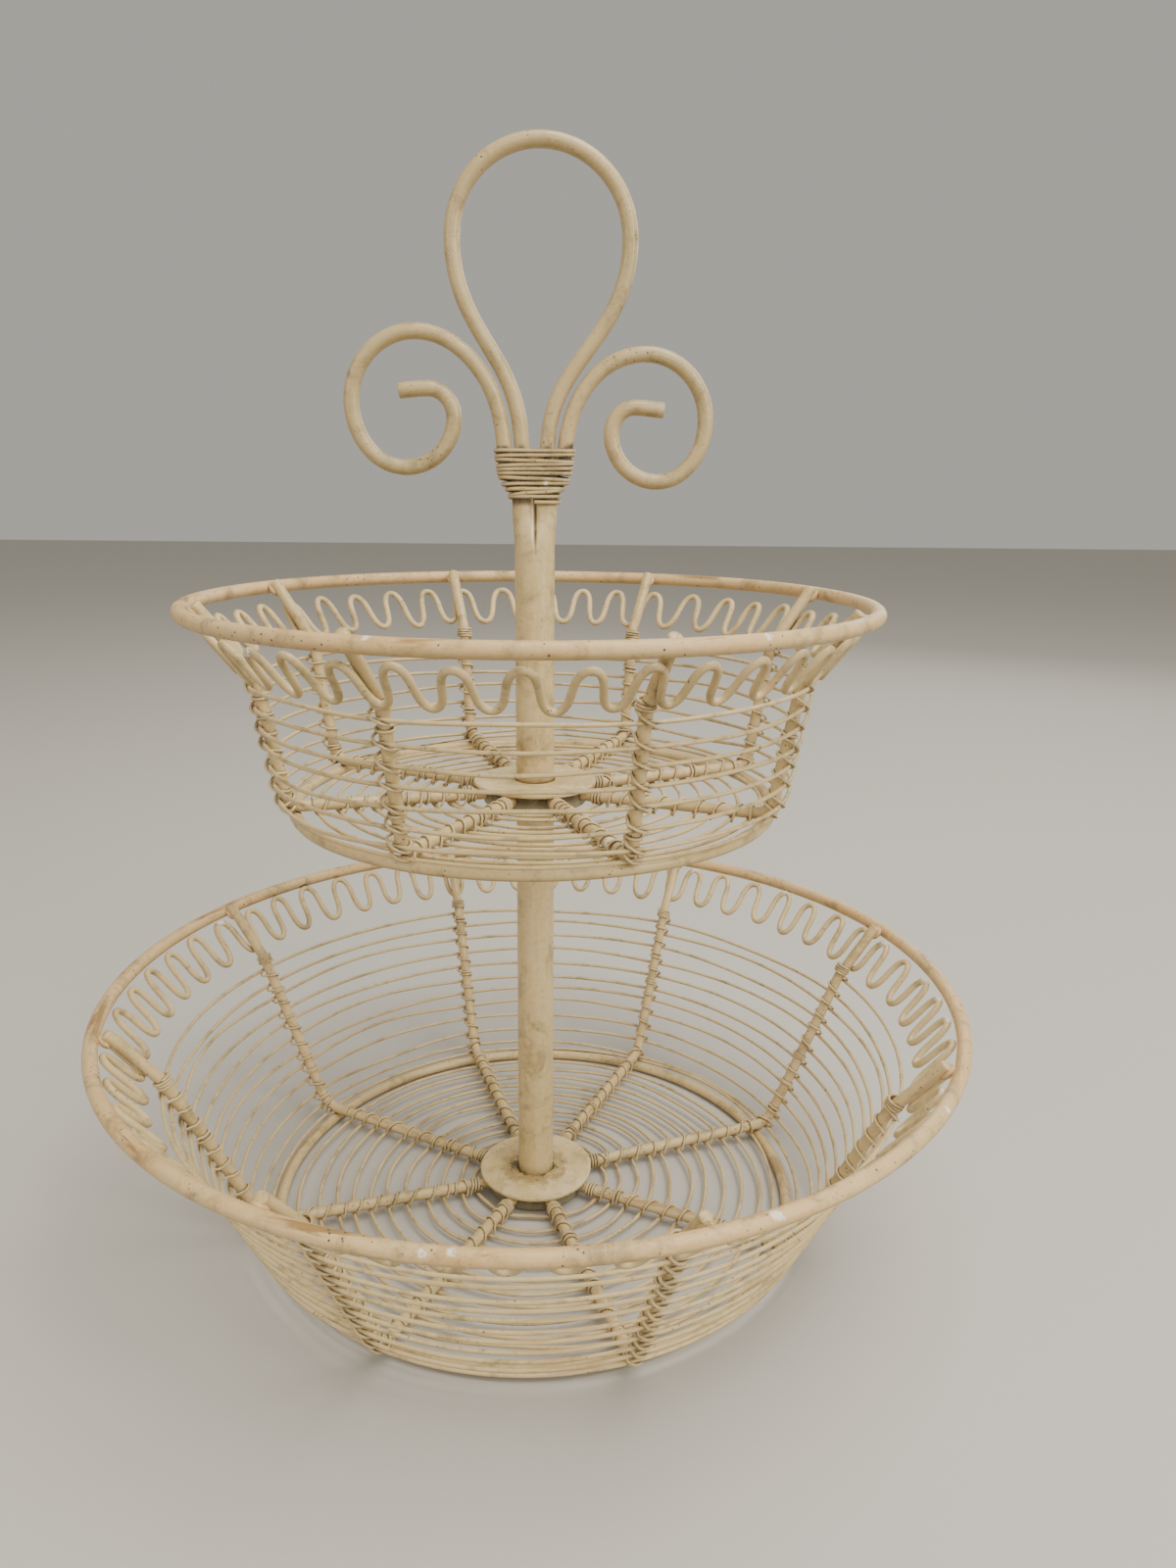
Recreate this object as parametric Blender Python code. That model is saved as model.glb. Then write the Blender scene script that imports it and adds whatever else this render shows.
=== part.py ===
"""Two-tier wire etagere: two round baskets clamped on a tube post with a scrolled handle.

Metres, +Z up. The origin is on the post's axis, on the surface that the stand rests on,
and the handle's loop lies in the XZ plane.
"""
import math
from collections import namedtuple

import bmesh
import bpy
from mathutils import Vector

# Clearances and stock
GAP = 0.0003
RIM_ROD = 0.0058
BASE_ROD = 0.0048
RIB_ROD = 0.0048
WAVE_ROD = 0.0028
THIN_WIRE = 0.0016
HANDLE_ROD = 0.0060
LEAST_WIRE_GAP = 0.0004

# Lower basket
LOWER_RIM_RADIUS = 0.180
LOWER_RIM_HEIGHT = 0.103
LOWER_KINK_RADIUS = 0.156
LOWER_KINK_HEIGHT = 0.082
LOWER_BASE_RADIUS = 0.115
LOWER_BEND_OUTSET = 0.0055
LOWER_BEND_CORNER = 0.0120
LOWER_WAVE_HEADROOM = 0.0006
LOWER_WAVE_FOOT = 0.0062
LOWER_WAVE_NECK_SHARE = 0.42
LOWER_WAVE_TURN_SHARE = 0.45
LOWER_WAVES_PER_BAY = 7
LOWER_WALL_TURNS = 12
LOWER_FLOOR_TURNS = 11
LOWER_TIER_TURN_DEG = -5.8

# Upper basket, its heights counted from its own base
UPPER_RIM_RADIUS = 0.1345
UPPER_RIM_HEIGHT = 0.0830
UPPER_KINK_RADIUS = 0.1100
UPPER_KINK_HEIGHT = 0.0600
UPPER_BASE_RADIUS = 0.0980
UPPER_BEND_OUTSET = 0.0028
UPPER_BEND_CORNER = 0.0070
UPPER_WAVE_HEADROOM = 0.0050
UPPER_WAVE_FOOT = 0.0046
UPPER_WAVE_NECK_SHARE = 0.33
UPPER_WAVE_TURN_SHARE = -0.27
UPPER_WAVES_PER_BAY = 5
UPPER_WALL_TURNS = 8
UPPER_FLOOR_TURNS = 9
UPPER_TIER_HEIGHT = 0.1854
UPPER_TIER_TURN_DEG = -3.8

# Basket frame, alike on both tiers
RIBS = 8
KINK_CORNER = 0.0060
TIP_SETBACK = 0.0012
WAVE_PLAY = 0.0001
WALL_PLAY = 0.0013
WALL_LEVEL_RISE = 0.0026
WALL_END = 0.0010

# Hub, alike on both tiers
HUB_DISC = 0.0510
HUB_SHEET = 0.0016
HUB_STANDOFF = 0.0007
COLLAR_OUTER = 0.0430
COLLAR_WALL = 0.0015
COLLAR_HEIGHT = 0.0070
HOLE_PLAY = 0.0006
FLOOR_START = 0.0022

# Post and the rod that clamps it
TUBE_OUTER = 0.0158
TUBE_WALL = 0.0010
TUBE_TOP = 0.3130
CRIMP_START = 0.2890
CRIMP_FULL = 0.3030
CRIMP_DIP = 0.0016
LEG_PLAY = 0.0006
CLAMP_ROD = 0.0060
CLAMP_PLAY = 0.0003
INSERT_HEIGHT = 0.0100
INSERT_SETBACK = 0.0060
ROD_OVERRUN = 0.0040
NUT_ACROSS = 0.0100
NUT_HEIGHT = 0.0030
WASHER_OUTER = 0.0160
WASHER_SHEET = 0.0010

# Handle
LEG_OFFSET = 0.0042
LEG_BOTTOM = 0.3040
LEG_STRAIGHT_TOP = 0.3150
LOOP_FORK = 0.3300
LOOP_FORK_OFFSET = 0.0050
LOOP_SIDE_HEIGHT = 0.4023
LOOP_TOP = 0.4355
LOOP_TOP_OFFSET = 0.0027
LOOP_REACH_LEFT = 0.0309
LOOP_REACH_RIGHT = 0.0363
FORK_PULL_LEFT = 0.0324
FORK_PULL_RIGHT = 0.0297
SIDE_PULL_LEFT = 0.0344
SIDE_PULL_RIGHT = 0.0350
STEM_OFFSET = 0.0118
STEM_FOOT_OFFSET = 0.0107
STEM_BOTTOM = 0.3180
SCROLL_REACH_LEFT = 0.0701
SCROLL_TOP_LEFT = 0.3700
SCROLL_DEPTH_LEFT = 0.0504
SCROLL_REACH_RIGHT = 0.0667
SCROLL_TOP_RIGHT = 0.3631
SCROLL_DEPTH_RIGHT = 0.0479
SCROLL_END_LENGTH = 0.0105
SCROLL_END_DROP = 0.0013
# Where a scroll's rod runs level and upright in turn: shares of its reach and of its depth
SCROLL_SHARES = ((0.555, 1), (1, 0.485), (0.658, 0), (0.322, 0.375), (0.498, 0.590))

# Wire that binds the handle to the post
BINDING_WIRE = 0.0014
BINDING_TURNS = 10
BINDING_BOTTOM = 0.3080
BINDING_TOP = 0.3268
BINDING_NECK = 0.3095
BINDING_SHOULDER = 0.3172
BINDING_EASE_SHARE = 1.08
# Side of the post and direction in degrees of each corner that the wire turns
BINDING_CORNERS = (
    (1, -90), (1, -45), (1, 0), (1, 45), (1, 90),
    (-1, 90), (-1, 135), (-1, 180), (-1, 225), (-1, 270),
)

# Facets: sides of a wire's section, and points to a turn
THIN_SIDES = 4
RIB_SIDES = 6
BASE_SIDES = 6
RIM_SIDES = 8
HANDLE_SIDES = 8
WALL_POINTS = 24
FLOOR_POINTS = 24
INNER_FLOOR_POINTS = 16
INNER_FLOOR_LIMIT = 0.0880
LOWER_RIM_STEPS = 48
UPPER_RIM_STEPS = 40
LOWER_BASE_STEPS = 40
UPPER_BASE_STEPS = 32
HUB_STEPS = 20
BORE_STEPS = 16
TUBE_STEPS = 20
LOWER_WAVE_POINTS = 6
LOWER_WAVE_SHIFT_SHARE = 0
UPPER_WAVE_POINTS = 8
UPPER_WAVE_SHIFT_SHARE = 0.5
CORNER_POINTS = 3
NUT_POINTS_PER_SIDE = 2
SHARP_EDGE_DEG = 40
QUARTER_POINTS = 5
CRIMP_RINGS = 4

CREAM = (0.66, 0.55, 0.40, 1.0)
ZINC = (0.42, 0.40, 0.37, 1.0)

Basket = namedtuple(
    "Basket",
    "tier rim_radius rim_height kink_radius kink_height base_radius bend_outset bend_corner "
    "wave_headroom wave_foot wave_neck wave_turn waves_per_bay wall_turns floor_turns height "
    "turn rim_steps base_steps wave_points wave_shift",
)
LOWER = Basket(
    "lower", LOWER_RIM_RADIUS, LOWER_RIM_HEIGHT, LOWER_KINK_RADIUS, LOWER_KINK_HEIGHT,
    LOWER_BASE_RADIUS, LOWER_BEND_OUTSET, LOWER_BEND_CORNER, LOWER_WAVE_HEADROOM,
    LOWER_WAVE_FOOT, LOWER_WAVE_NECK_SHARE, LOWER_WAVE_TURN_SHARE, LOWER_WAVES_PER_BAY,
    LOWER_WALL_TURNS, LOWER_FLOOR_TURNS,
    0, math.radians(LOWER_TIER_TURN_DEG), LOWER_RIM_STEPS, LOWER_BASE_STEPS,
    LOWER_WAVE_POINTS, LOWER_WAVE_SHIFT_SHARE,
)
UPPER = Basket(
    "upper", UPPER_RIM_RADIUS, UPPER_RIM_HEIGHT, UPPER_KINK_RADIUS, UPPER_KINK_HEIGHT,
    UPPER_BASE_RADIUS, UPPER_BEND_OUTSET, UPPER_BEND_CORNER, UPPER_WAVE_HEADROOM,
    UPPER_WAVE_FOOT, UPPER_WAVE_NECK_SHARE, UPPER_WAVE_TURN_SHARE, UPPER_WAVES_PER_BAY,
    UPPER_WALL_TURNS, UPPER_FLOOR_TURNS,
    UPPER_TIER_HEIGHT, math.radians(UPPER_TIER_TURN_DEG), UPPER_RIM_STEPS, UPPER_BASE_STEPS,
    UPPER_WAVE_POINTS, UPPER_WAVE_SHIFT_SHARE,
)

# Heights inside a hub, from the surface that its basket rests on
COLLAR_TOP = HUB_STANDOFF + COLLAR_HEIGHT
DISC_BOTTOM = COLLAR_TOP + GAP
DISC_TOP = DISC_BOTTOM + HUB_SHEET
SEAT_TOP = COLLAR_TOP
SEAT_BOTTOM = SEAT_TOP - HUB_SHEET
RIB_AT_HUB = DISC_BOTTOM - GAP - RIB_ROD / 2
RIB_CLEAR_OF_RING = BASE_ROD / 2 + GAP + RIB_ROD / 2


def clear_scene():
    for old in list(bpy.data.objects):
        bpy.data.objects.remove(old)


def paint(name, colour, roughness, metallic):
    made = bpy.data.materials.new(name)
    made.use_nodes = True
    shader = made.node_tree.nodes["Principled BSDF"]
    shader.inputs["Base Color"].default_value = colour
    shader.inputs["Roughness"].default_value = roughness
    shader.inputs["Metallic"].default_value = metallic
    made.diffuse_color = colour
    return made


def add_object(name, data, parent, colour, roughness=0.5, metallic=0.0):
    made = bpy.data.objects.new(name, data)
    data.materials.append(paint(name, colour, roughness, metallic))
    made.parent = parent
    bpy.context.collection.objects.link(made)
    return made


def add_empty(name, parent=None, height=0.0, turn=0.0):
    made = bpy.data.objects.new(name, None)
    made.parent = parent
    made.location.z = height
    made.rotation_euler.z = turn
    bpy.context.collection.objects.link(made)
    return made


def wire(name, points, diameter, sides, parent, colour=CREAM, closed=False, twist="Z_UP"):
    """A round wire or rod along the points, with closed ends unless it is a ring."""
    data = bpy.data.curves.new(name, "CURVE")
    data.dimensions = "3D"
    data.twist_mode = twist
    data.bevel_depth = diameter / 2
    data.bevel_resolution = sides // 2 - 2
    data.use_fill_caps = not closed
    spline = data.splines.new("POLY")
    spline.points.add(len(points) - 1)
    for slot, point in zip(spline.points, points):
        slot.co = (*point, 1.0)
    spline.use_cyclic_u = closed
    spline.use_smooth = True
    return add_object(name, data, parent, colour)


def mesh_object(name, shape, parent, colour=CREAM, roughness=0.5, metallic=0.0):
    bmesh.ops.recalc_face_normals(shape, faces=shape.faces)
    data = bpy.data.meshes.new(name)
    shape.to_mesh(data)
    shape.free()
    data.shade_smooth()
    data.set_sharp_from_angle(angle=math.radians(SHARP_EDGE_DEG))
    return add_object(name, data, parent, colour, roughness, metallic)


def ring_of(outline, height):
    return [Vector((x, y, height)) for x, y in outline]


def sleeve(outer_rings, inner_rings):
    """A closed shell between stacks of outer and inner rings that have as many points each."""
    shape = bmesh.new()
    loops = outer_rings + inner_rings[::-1]
    made = [[shape.verts.new(point) for point in loop] for loop in loops]
    for one, other in zip(made, made[1:] + made[:1]):
        for i in range(len(one)):
            j = (i + 1) % len(one)
            shape.faces.new((one[i], one[j], other[j], other[i]))
    return shape


def circle(radius, steps):
    return [
        (radius * math.cos(math.tau * i / steps), radius * math.sin(math.tau * i / steps))
        for i in range(steps)
    ]


def bushing(name, outer, inner, bottom, top, steps, parent, **finish):
    """A turned ring of square section, such as a plate with a hole, a collar or a tube."""
    shape = sleeve(
        [ring_of(circle(outer, steps), bottom), ring_of(circle(outer, steps), top)],
        [ring_of(circle(inner, steps), bottom), ring_of(circle(inner, steps), top)],
    )
    return mesh_object(name, shape, parent, **finish)


def torus(name, radius, height, rod, sides, steps, parent):
    """A ring of rod whose section has a flat side below."""
    section_radius = rod / 2 / math.cos(math.pi / sides)
    shape = bmesh.new()
    loops = []
    for i in range(steps):
        turn = math.tau * i / steps
        loop = []
        for k in range(sides):
            lean = math.tau * (k + 0.5) / sides - math.pi / 2
            reach = radius + section_radius * math.cos(lean)
            rise = height + section_radius * math.sin(lean)
            loop.append(shape.verts.new((reach * math.cos(turn), reach * math.sin(turn), rise)))
        loops.append(loop)
    for one, other in zip(loops, loops[1:] + loops[:1]):
        for k in range(sides):
            m = (k + 1) % sides
            shape.faces.new((one[k], other[k], other[m], one[m]))
    return mesh_object(name, shape, parent)


def rounded(corner_points, radii, steps):
    """The polyline with its inner corners turned into arcs of the given radii."""
    made = [corner_points[0]]
    for before, corner, after, radius in zip(
        corner_points, corner_points[1:], corner_points[2:], radii
    ):
        towards = (before - corner).normalized()
        onwards = (after - corner).normalized()
        half = towards.angle(onwards) / 2
        centre = corner + (towards + onwards).normalized() * (radius / math.sin(half))
        start = corner + towards * (radius / math.tan(half)) - centre
        end = corner + onwards * (radius / math.tan(half)) - centre
        sweep = start.angle(end)
        for i in range(steps):
            turned = sweep * i / (steps - 1)
            spoke = start * math.sin(sweep - turned) + end * math.sin(turned)
            made.append(centre + spoke / math.sin(sweep))
    made.append(corner_points[-1])
    return made


def at_azimuth(profile_point, azimuth):
    """A point of a radius and a height, swung to an azimuth."""
    radius, height = profile_point
    return Vector((radius * math.cos(azimuth), radius * math.sin(azimuth), height))


def rib_azimuth(index):
    return math.tau * (index + 0.5) / RIBS


def wall_lean(basket):
    """Angle of a rib's wall above level."""
    rise = basket.kink_height - BASE_ROD / 2 - RIB_CLEAR_OF_RING
    return math.atan2(rise, basket.kink_radius - basket.base_radius - basket.bend_outset)


def bend_centre(basket):
    """Radius and height that a rib bends about, so that it just clears the base ring."""
    setback = basket.bend_corner * math.tan(wall_lean(basket) / 2)
    radius = basket.base_radius + basket.bend_outset - setback
    over_ring = max(basket.base_radius - radius, 0)
    reach = basket.bend_corner + RIB_CLEAR_OF_RING
    return Vector((radius, BASE_ROD / 2 + math.sqrt(reach**2 - over_ring**2)))


def floor_height(radius, basket):
    """Height of a rib's centre over the floor, which dips a little towards the hub."""
    share = (radius - HUB_DISC / 2) / (basket.base_radius - HUB_DISC / 2)
    at_ring = bend_centre(basket).y - basket.bend_corner
    return RIB_AT_HUB + (at_ring - RIB_AT_HUB) * share


def rib_corners(basket):
    """Hub end, floor bend, kink and tip of a rib as (radius, height) pairs."""
    hub_end = COLLAR_OUTER / 2 + GAP
    bend = basket.base_radius + basket.bend_outset
    rim = Vector((basket.rim_radius, basket.rim_height))
    kink = Vector((basket.kink_radius, basket.kink_height))
    reach = (rim - kink).length
    clear = RIM_ROD / 2 + GAP + RIB_ROD / 2
    lift = math.atan2(rim.y - kink.y, rim.x - kink.x) + math.asin(clear / reach)
    length = math.sqrt(reach**2 - clear**2) - TIP_SETBACK
    tip = kink + length * Vector((math.cos(lift), math.sin(lift)))
    return (
        Vector((hub_end, floor_height(hub_end, basket))),
        Vector((bend, floor_height(bend, basket))),
        kink,
        tip,
    )


def outside(start, end, distance):
    """The line from start to end moved outwards, away from the basket's inside."""
    along = (end - start).normalized()
    off = Vector((along.y, -along.x)) * distance
    return start + off, end + off


def spiral(start_line, end_line, turns, points_per_turn, start_azimuth):
    """Points that wind round from one (radius, height) to the other at a steady rate."""
    count = round(turns * points_per_turn)
    made = []
    for i in range(count + 1):
        share = i / count
        place = start_line.lerp(end_line, share)
        made.append(at_azimuth(place, start_azimuth + math.tau * turns * share))
    return made


def least_gap(points, diameter, skip):
    """Least distance between the surfaces of turns of one wire, on points of its route."""
    best = math.inf
    for i, one in enumerate(points):
        for other in points[i + skip :]:
            best = min(best, (one - other).length)
    return best - diameter


def report_gap(name, points, diameter, skip):
    found = least_gap(points, diameter, skip)
    state = "clear" if found > LEAST_WIRE_GAP else "TOO CLOSE"
    print(f"{name}: least gap to itself {found * 1000:.2f} mm, {state}")


def add_ribs(basket, frame):
    corners = rib_corners(basket)
    profile = rounded(
        [Vector((x, y, 0)) for x, y in corners], (basket.bend_corner, KINK_CORNER),
        CORNER_POINTS,
    )
    for index in range(RIBS):
        points = [at_azimuth((p.x, p.y), rib_azimuth(index)) for p in profile]
        wire(
            f"{basket.tier}_rib_{index + 1}", points, RIB_ROD, RIB_SIDES, frame, twist="MINIMUM"
        )


def add_wave(basket, frame):
    """The serpentine between the kinks and the rim, outside the ribs.

    Its legs are drawn in below the crests, so that they stand almost upright.
    """
    kink, tip = rib_corners(basket)[2:]
    low, high = outside(kink, tip, RIB_ROD / 2 + WAVE_PLAY + WAVE_ROD / 2)
    along = (high - low).normalized()
    rim = Vector((basket.rim_radius, basket.rim_height))
    foot = (rim - low).dot(along)
    miss = (rim - low - along * foot).length
    clear = RIM_ROD / 2 + GAP + WAVE_ROD / 2
    crest = foot - math.sqrt(clear**2 - miss**2) - basket.wave_headroom
    middle = (crest + basket.wave_foot) / 2
    swing = (crest - basket.wave_foot) / 2
    waves = RIBS * basket.waves_per_bay
    first_crest = rib_azimuth(0) + math.tau * basket.wave_turn / waves
    points = []
    for i in range(waves * basket.wave_points):
        phase = math.tau * (i + basket.wave_shift) / basket.wave_points
        place = low + along * (middle + swing * math.cos(phase))
        drawn_in = basket.wave_neck * math.sin(2 * phase)
        points.append(at_azimuth(place, first_crest + (phase + drawn_in) / waves))
    wire(
        f"{basket.tier}_wave_wire", points, WAVE_ROD, THIN_SIDES, frame, closed=True,
        twist="MINIMUM",
    )


def wall_start(basket, reach):
    """Angle from straight below the bend's centre at which the wall wire clears the base ring."""
    to_ring = Vector((basket.base_radius, BASE_ROD / 2)) - bend_centre(basket)
    clear = BASE_ROD / 2 / math.cos(math.pi / BASE_SIDES) + THIN_WIRE / 2 + WALL_PLAY
    distance = to_ring.length
    opening = math.acos((reach**2 + distance**2 - clear**2) / (2 * reach * distance))
    return math.atan2(to_ring.x, -to_ring.y) + opening


def wall_place(basket, reach, start, travelled):
    """Radius and height after a way round the bend from the start, and then up the wall."""
    lean = min(start + travelled / reach, wall_lean(basket))
    left = travelled - reach * (lean - start)
    round_bend = reach * Vector((math.sin(lean), -math.cos(lean)))
    return bend_centre(basket) + round_bend + left * Vector((math.cos(lean), math.sin(lean)))


def add_wall_wire(basket, frame):
    """One almost level turn beside the base ring, and then turns that climb at a steady rate."""
    reach = basket.bend_corner + RIB_ROD / 2 + GAP + THIN_WIRE / 2
    start = wall_start(basket, reach)
    bend, kink = rib_corners(basket)[1:3]
    setback = basket.bend_corner * math.tan(wall_lean(basket) / 2)
    climb = (kink - bend).length - setback - WALL_END + reach * (wall_lean(basket) - start)
    points = []
    for i in range(basket.wall_turns * WALL_POINTS + 1):
        turns = i / WALL_POINTS
        if turns < 1:
            travelled = WALL_LEVEL_RISE * turns
        else:
            steady = (turns - 1) / (basket.wall_turns - 1)
            travelled = WALL_LEVEL_RISE + (climb - WALL_LEVEL_RISE) * steady
        place = wall_place(basket, reach, start, travelled)
        points.append(at_azimuth(place, rib_azimuth(0) + math.tau * turns))
    wire(f"{basket.tier}_wall_wire", points, THIN_WIRE, THIN_SIDES, frame)
    report_gap(f"{basket.tier} wall wire", points, THIN_WIRE, WALL_POINTS // 2)


def add_floor_wire(basket, frame):
    """The wire that winds outwards under the ribs, with fewer points on its inner turns."""
    first = COLLAR_OUTER / 2 + FLOOR_START
    last = basket.base_radius - BASE_ROD / 2 - GAP - THIN_WIRE
    pitch = (last - first) / basket.floor_turns
    inner_turns = round((INNER_FLOOR_LIMIT - first) / pitch)
    middle = first + pitch * inner_turns
    drop = RIB_ROD / 2 + GAP + THIN_WIRE / 2
    inner, between, outer = (
        Vector((radius, floor_height(radius, basket) - drop)) for radius in (first, middle, last)
    )
    points = spiral(inner, between, inner_turns, INNER_FLOOR_POINTS, rib_azimuth(0))
    points += spiral(
        between, outer, basket.floor_turns - inner_turns, FLOOR_POINTS, rib_azimuth(0)
    )[1:]
    wire(f"{basket.tier}_floor_wire", points, THIN_WIRE, THIN_SIDES, frame)
    report_gap(f"{basket.tier} floor wire", points, THIN_WIRE, INNER_FLOOR_POINTS // 2)


def add_hub(basket, frame):
    hole = TUBE_OUTER / 2 + HOLE_PLAY
    bushing(
        f"{basket.tier}_hub_disc", HUB_DISC / 2, hole, DISC_BOTTOM, DISC_TOP, HUB_STEPS, frame
    )
    collar = COLLAR_OUTER / 2
    bushing(
        f"{basket.tier}_hub_collar", collar, collar - COLLAR_WALL, HUB_STANDOFF, COLLAR_TOP,
        HUB_STEPS, frame,
    )
    bushing(
        f"{basket.tier}_hub_seat", collar - COLLAR_WALL - GAP, CLAMP_ROD / 2 + CLAMP_PLAY,
        SEAT_BOTTOM, SEAT_TOP, BORE_STEPS, frame,
    )


def add_basket(basket):
    frame = add_empty(f"{basket.tier}_basket", height=basket.height, turn=basket.turn)
    torus(
        f"{basket.tier}_rim_ring", basket.rim_radius, basket.rim_height, RIM_ROD, RIM_SIDES,
        basket.rim_steps, frame,
    )
    torus(
        f"{basket.tier}_base_ring", basket.base_radius, BASE_ROD / 2, BASE_ROD, BASE_SIDES,
        basket.base_steps, frame,
    )
    add_ribs(basket, frame)
    add_wave(basket, frame)
    add_wall_wire(basket, frame)
    add_floor_wire(basket, frame)
    add_hub(basket, frame)


def crimped(pinch, inset):
    """The tube's outline, from round at pinch 0 to two lobes round the handle's legs at 1."""
    round_radius = TUBE_OUTER / 2 - inset
    lobe = HANDLE_ROD / 2 + LEG_PLAY + TUBE_WALL - inset
    made = []
    for i in range(TUBE_STEPS):
        turn = math.tau * i / TUBE_STEPS
        x = (LEG_OFFSET + lobe) * math.cos(turn)
        past = abs(x) - LEG_OFFSET
        if past > 0:
            depth = math.sqrt(max(lobe**2 - past**2, 0))
        else:
            depth = lobe - CRIMP_DIP * (1 + math.cos(math.pi * x / LEG_OFFSET)) / 2
        y = math.copysign(depth, math.sin(turn)) if i % (TUBE_STEPS // 2) else 0
        made.append(
            (
                x * pinch + round_radius * math.cos(turn) * (1 - pinch),
                y * pinch + round_radius * math.sin(turn) * (1 - pinch),
            )
        )
    return made


def add_post(column):
    lower_end = SEAT_TOP + GAP
    upper_end = UPPER_TIER_HEIGHT + SEAT_BOTTOM - GAP
    bushing(
        "lower_tube", TUBE_OUTER / 2, TUBE_OUTER / 2 - TUBE_WALL, lower_end, upper_end,
        TUBE_STEPS, column,
    )
    foot = UPPER_TIER_HEIGHT + SEAT_TOP + GAP
    levels = [(foot, 0.0)]
    for i in range(CRIMP_RINGS + 1):
        share = i / CRIMP_RINGS
        pinch = share * share * (3 - 2 * share)
        levels.append((CRIMP_START + (CRIMP_FULL - CRIMP_START) * share, pinch))
    levels.append((TUBE_TOP, 1.0))
    outer = [ring_of(crimped(pinch, 0), height) for height, pinch in levels]
    inner = [ring_of(crimped(pinch, TUBE_WALL), height) for height, pinch in levels]
    mesh_object("upper_tube", sleeve(outer, inner), column)
    bore = TUBE_OUTER / 2 - TUBE_WALL - GAP
    insert_bottom = foot + INSERT_SETBACK
    bushing(
        "tube_insert", bore, CLAMP_ROD / 2 + CLAMP_PLAY, insert_bottom,
        insert_bottom + INSERT_HEIGHT, BORE_STEPS, column, colour=ZINC, metallic=1.0,
    )
    return insert_bottom + INSERT_HEIGHT + ROD_OVERRUN


def add_clamp(column, rod_top):
    washer_top = SEAT_BOTTOM - GAP
    nut_top = washer_top - WASHER_SHEET - GAP
    rod_bottom = nut_top - NUT_HEIGHT
    rod = bmesh.new()
    bottom = [rod.verts.new(p) for p in ring_of(circle(CLAMP_ROD / 2, BORE_STEPS), rod_bottom)]
    top = [rod.verts.new(p) for p in ring_of(circle(CLAMP_ROD / 2, BORE_STEPS), rod_top)]
    bmesh.ops.bridge_loops(rod, edges=loop_edges(rod, bottom) + loop_edges(rod, top))
    rod.faces.new(bottom)
    rod.faces.new(top)
    mesh_object("clamp_rod", rod, column, colour=ZINC, metallic=1.0)
    bushing(
        "clamp_washer", WASHER_OUTER / 2, CLAMP_ROD / 2 + CLAMP_PLAY,
        washer_top - WASHER_SHEET, washer_top, BORE_STEPS, column, colour=ZINC, metallic=1.0,
    )
    hexagon = hexagon_outline(NUT_ACROSS / 2, NUT_POINTS_PER_SIDE)
    bore = circle(CLAMP_ROD / 2 + CLAMP_PLAY, len(hexagon))
    nut = sleeve(
        [ring_of(hexagon, rod_bottom), ring_of(hexagon, nut_top)],
        [ring_of(bore, rod_bottom), ring_of(bore, nut_top)],
    )
    mesh_object("clamp_nut", nut, column, colour=ZINC, metallic=1.0)


def loop_edges(shape, verts):
    return [shape.edges.new(pair) for pair in zip(verts, verts[1:] + verts[:1])]


def hexagon_outline(half_across, points_per_side):
    """Points of a hexagon at even angles, so that a round bore bridges to them."""
    count = 6 * points_per_side
    made = []
    for i in range(count):
        turn = math.tau * i / count
        from_corner = turn % (math.tau / 6) - math.tau / 12
        reach = half_across / math.cos(from_corner)
        made.append((reach * math.cos(turn), reach * math.sin(turn)))
    return made


def bezier(start, start_pull, end_pull, end, steps):
    """Points of a cubic curve after its start, through to its end."""
    made = []
    for i in range(1, steps + 1):
        t = i / steps
        a, b, c, d = (1 - t) ** 3, 3 * t * (1 - t) ** 2, 3 * t**2 * (1 - t), t**3
        made.append(start * a + start_pull * b + end_pull * c + end * d)
    return made


def quarter(start, end, upright_first, steps):
    """A quarter of an ellipse between a place where the rod is upright and one where it is level."""
    made = []
    for i in range(1, steps + 1):
        turn = math.pi / 2 * i / steps
        if upright_first:
            x = end.x + (start.x - end.x) * math.cos(turn)
            z = start.z + (end.z - start.z) * math.sin(turn)
        else:
            x = start.x + (end.x - start.x) * math.sin(turn)
            z = end.z + (start.z - end.z) * math.cos(turn)
        made.append(Vector((x, 0, z)))
    return made


def side_of_loop(side, reach, fork_pull, side_pull):
    """From the leg's foot in the tube up to the loop's widest place, on one side."""
    foot = Vector((side * LEG_OFFSET, 0, LEG_BOTTOM))
    mouth = Vector((side * LEG_OFFSET, 0, LEG_STRAIGHT_TOP))
    fork = Vector((side * LOOP_FORK_OFFSET, 0, LOOP_FORK))
    widest = Vector((side * reach, 0, LOOP_SIDE_HEIGHT))
    up = Vector((0, 0, 1))
    curve = bezier(
        fork, fork + up * fork_pull, widest - up * side_pull, widest, 2 * QUARTER_POINTS
    )
    return [foot, mouth, fork] + curve


def add_loop(column):
    left = side_of_loop(-1, LOOP_REACH_LEFT, FORK_PULL_LEFT, SIDE_PULL_LEFT)
    right = side_of_loop(1, LOOP_REACH_RIGHT, FORK_PULL_RIGHT, SIDE_PULL_RIGHT)
    top = Vector((LOOP_TOP_OFFSET, 0, LOOP_TOP))
    over = quarter(left[-1], top, True, QUARTER_POINTS)
    over += quarter(top, right[-1], False, QUARTER_POINTS)
    wire(
        "handle_loop", left + over + right[-2::-1], HANDLE_ROD, HANDLE_SIDES, column,
        twist="MINIMUM",
    )


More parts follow.
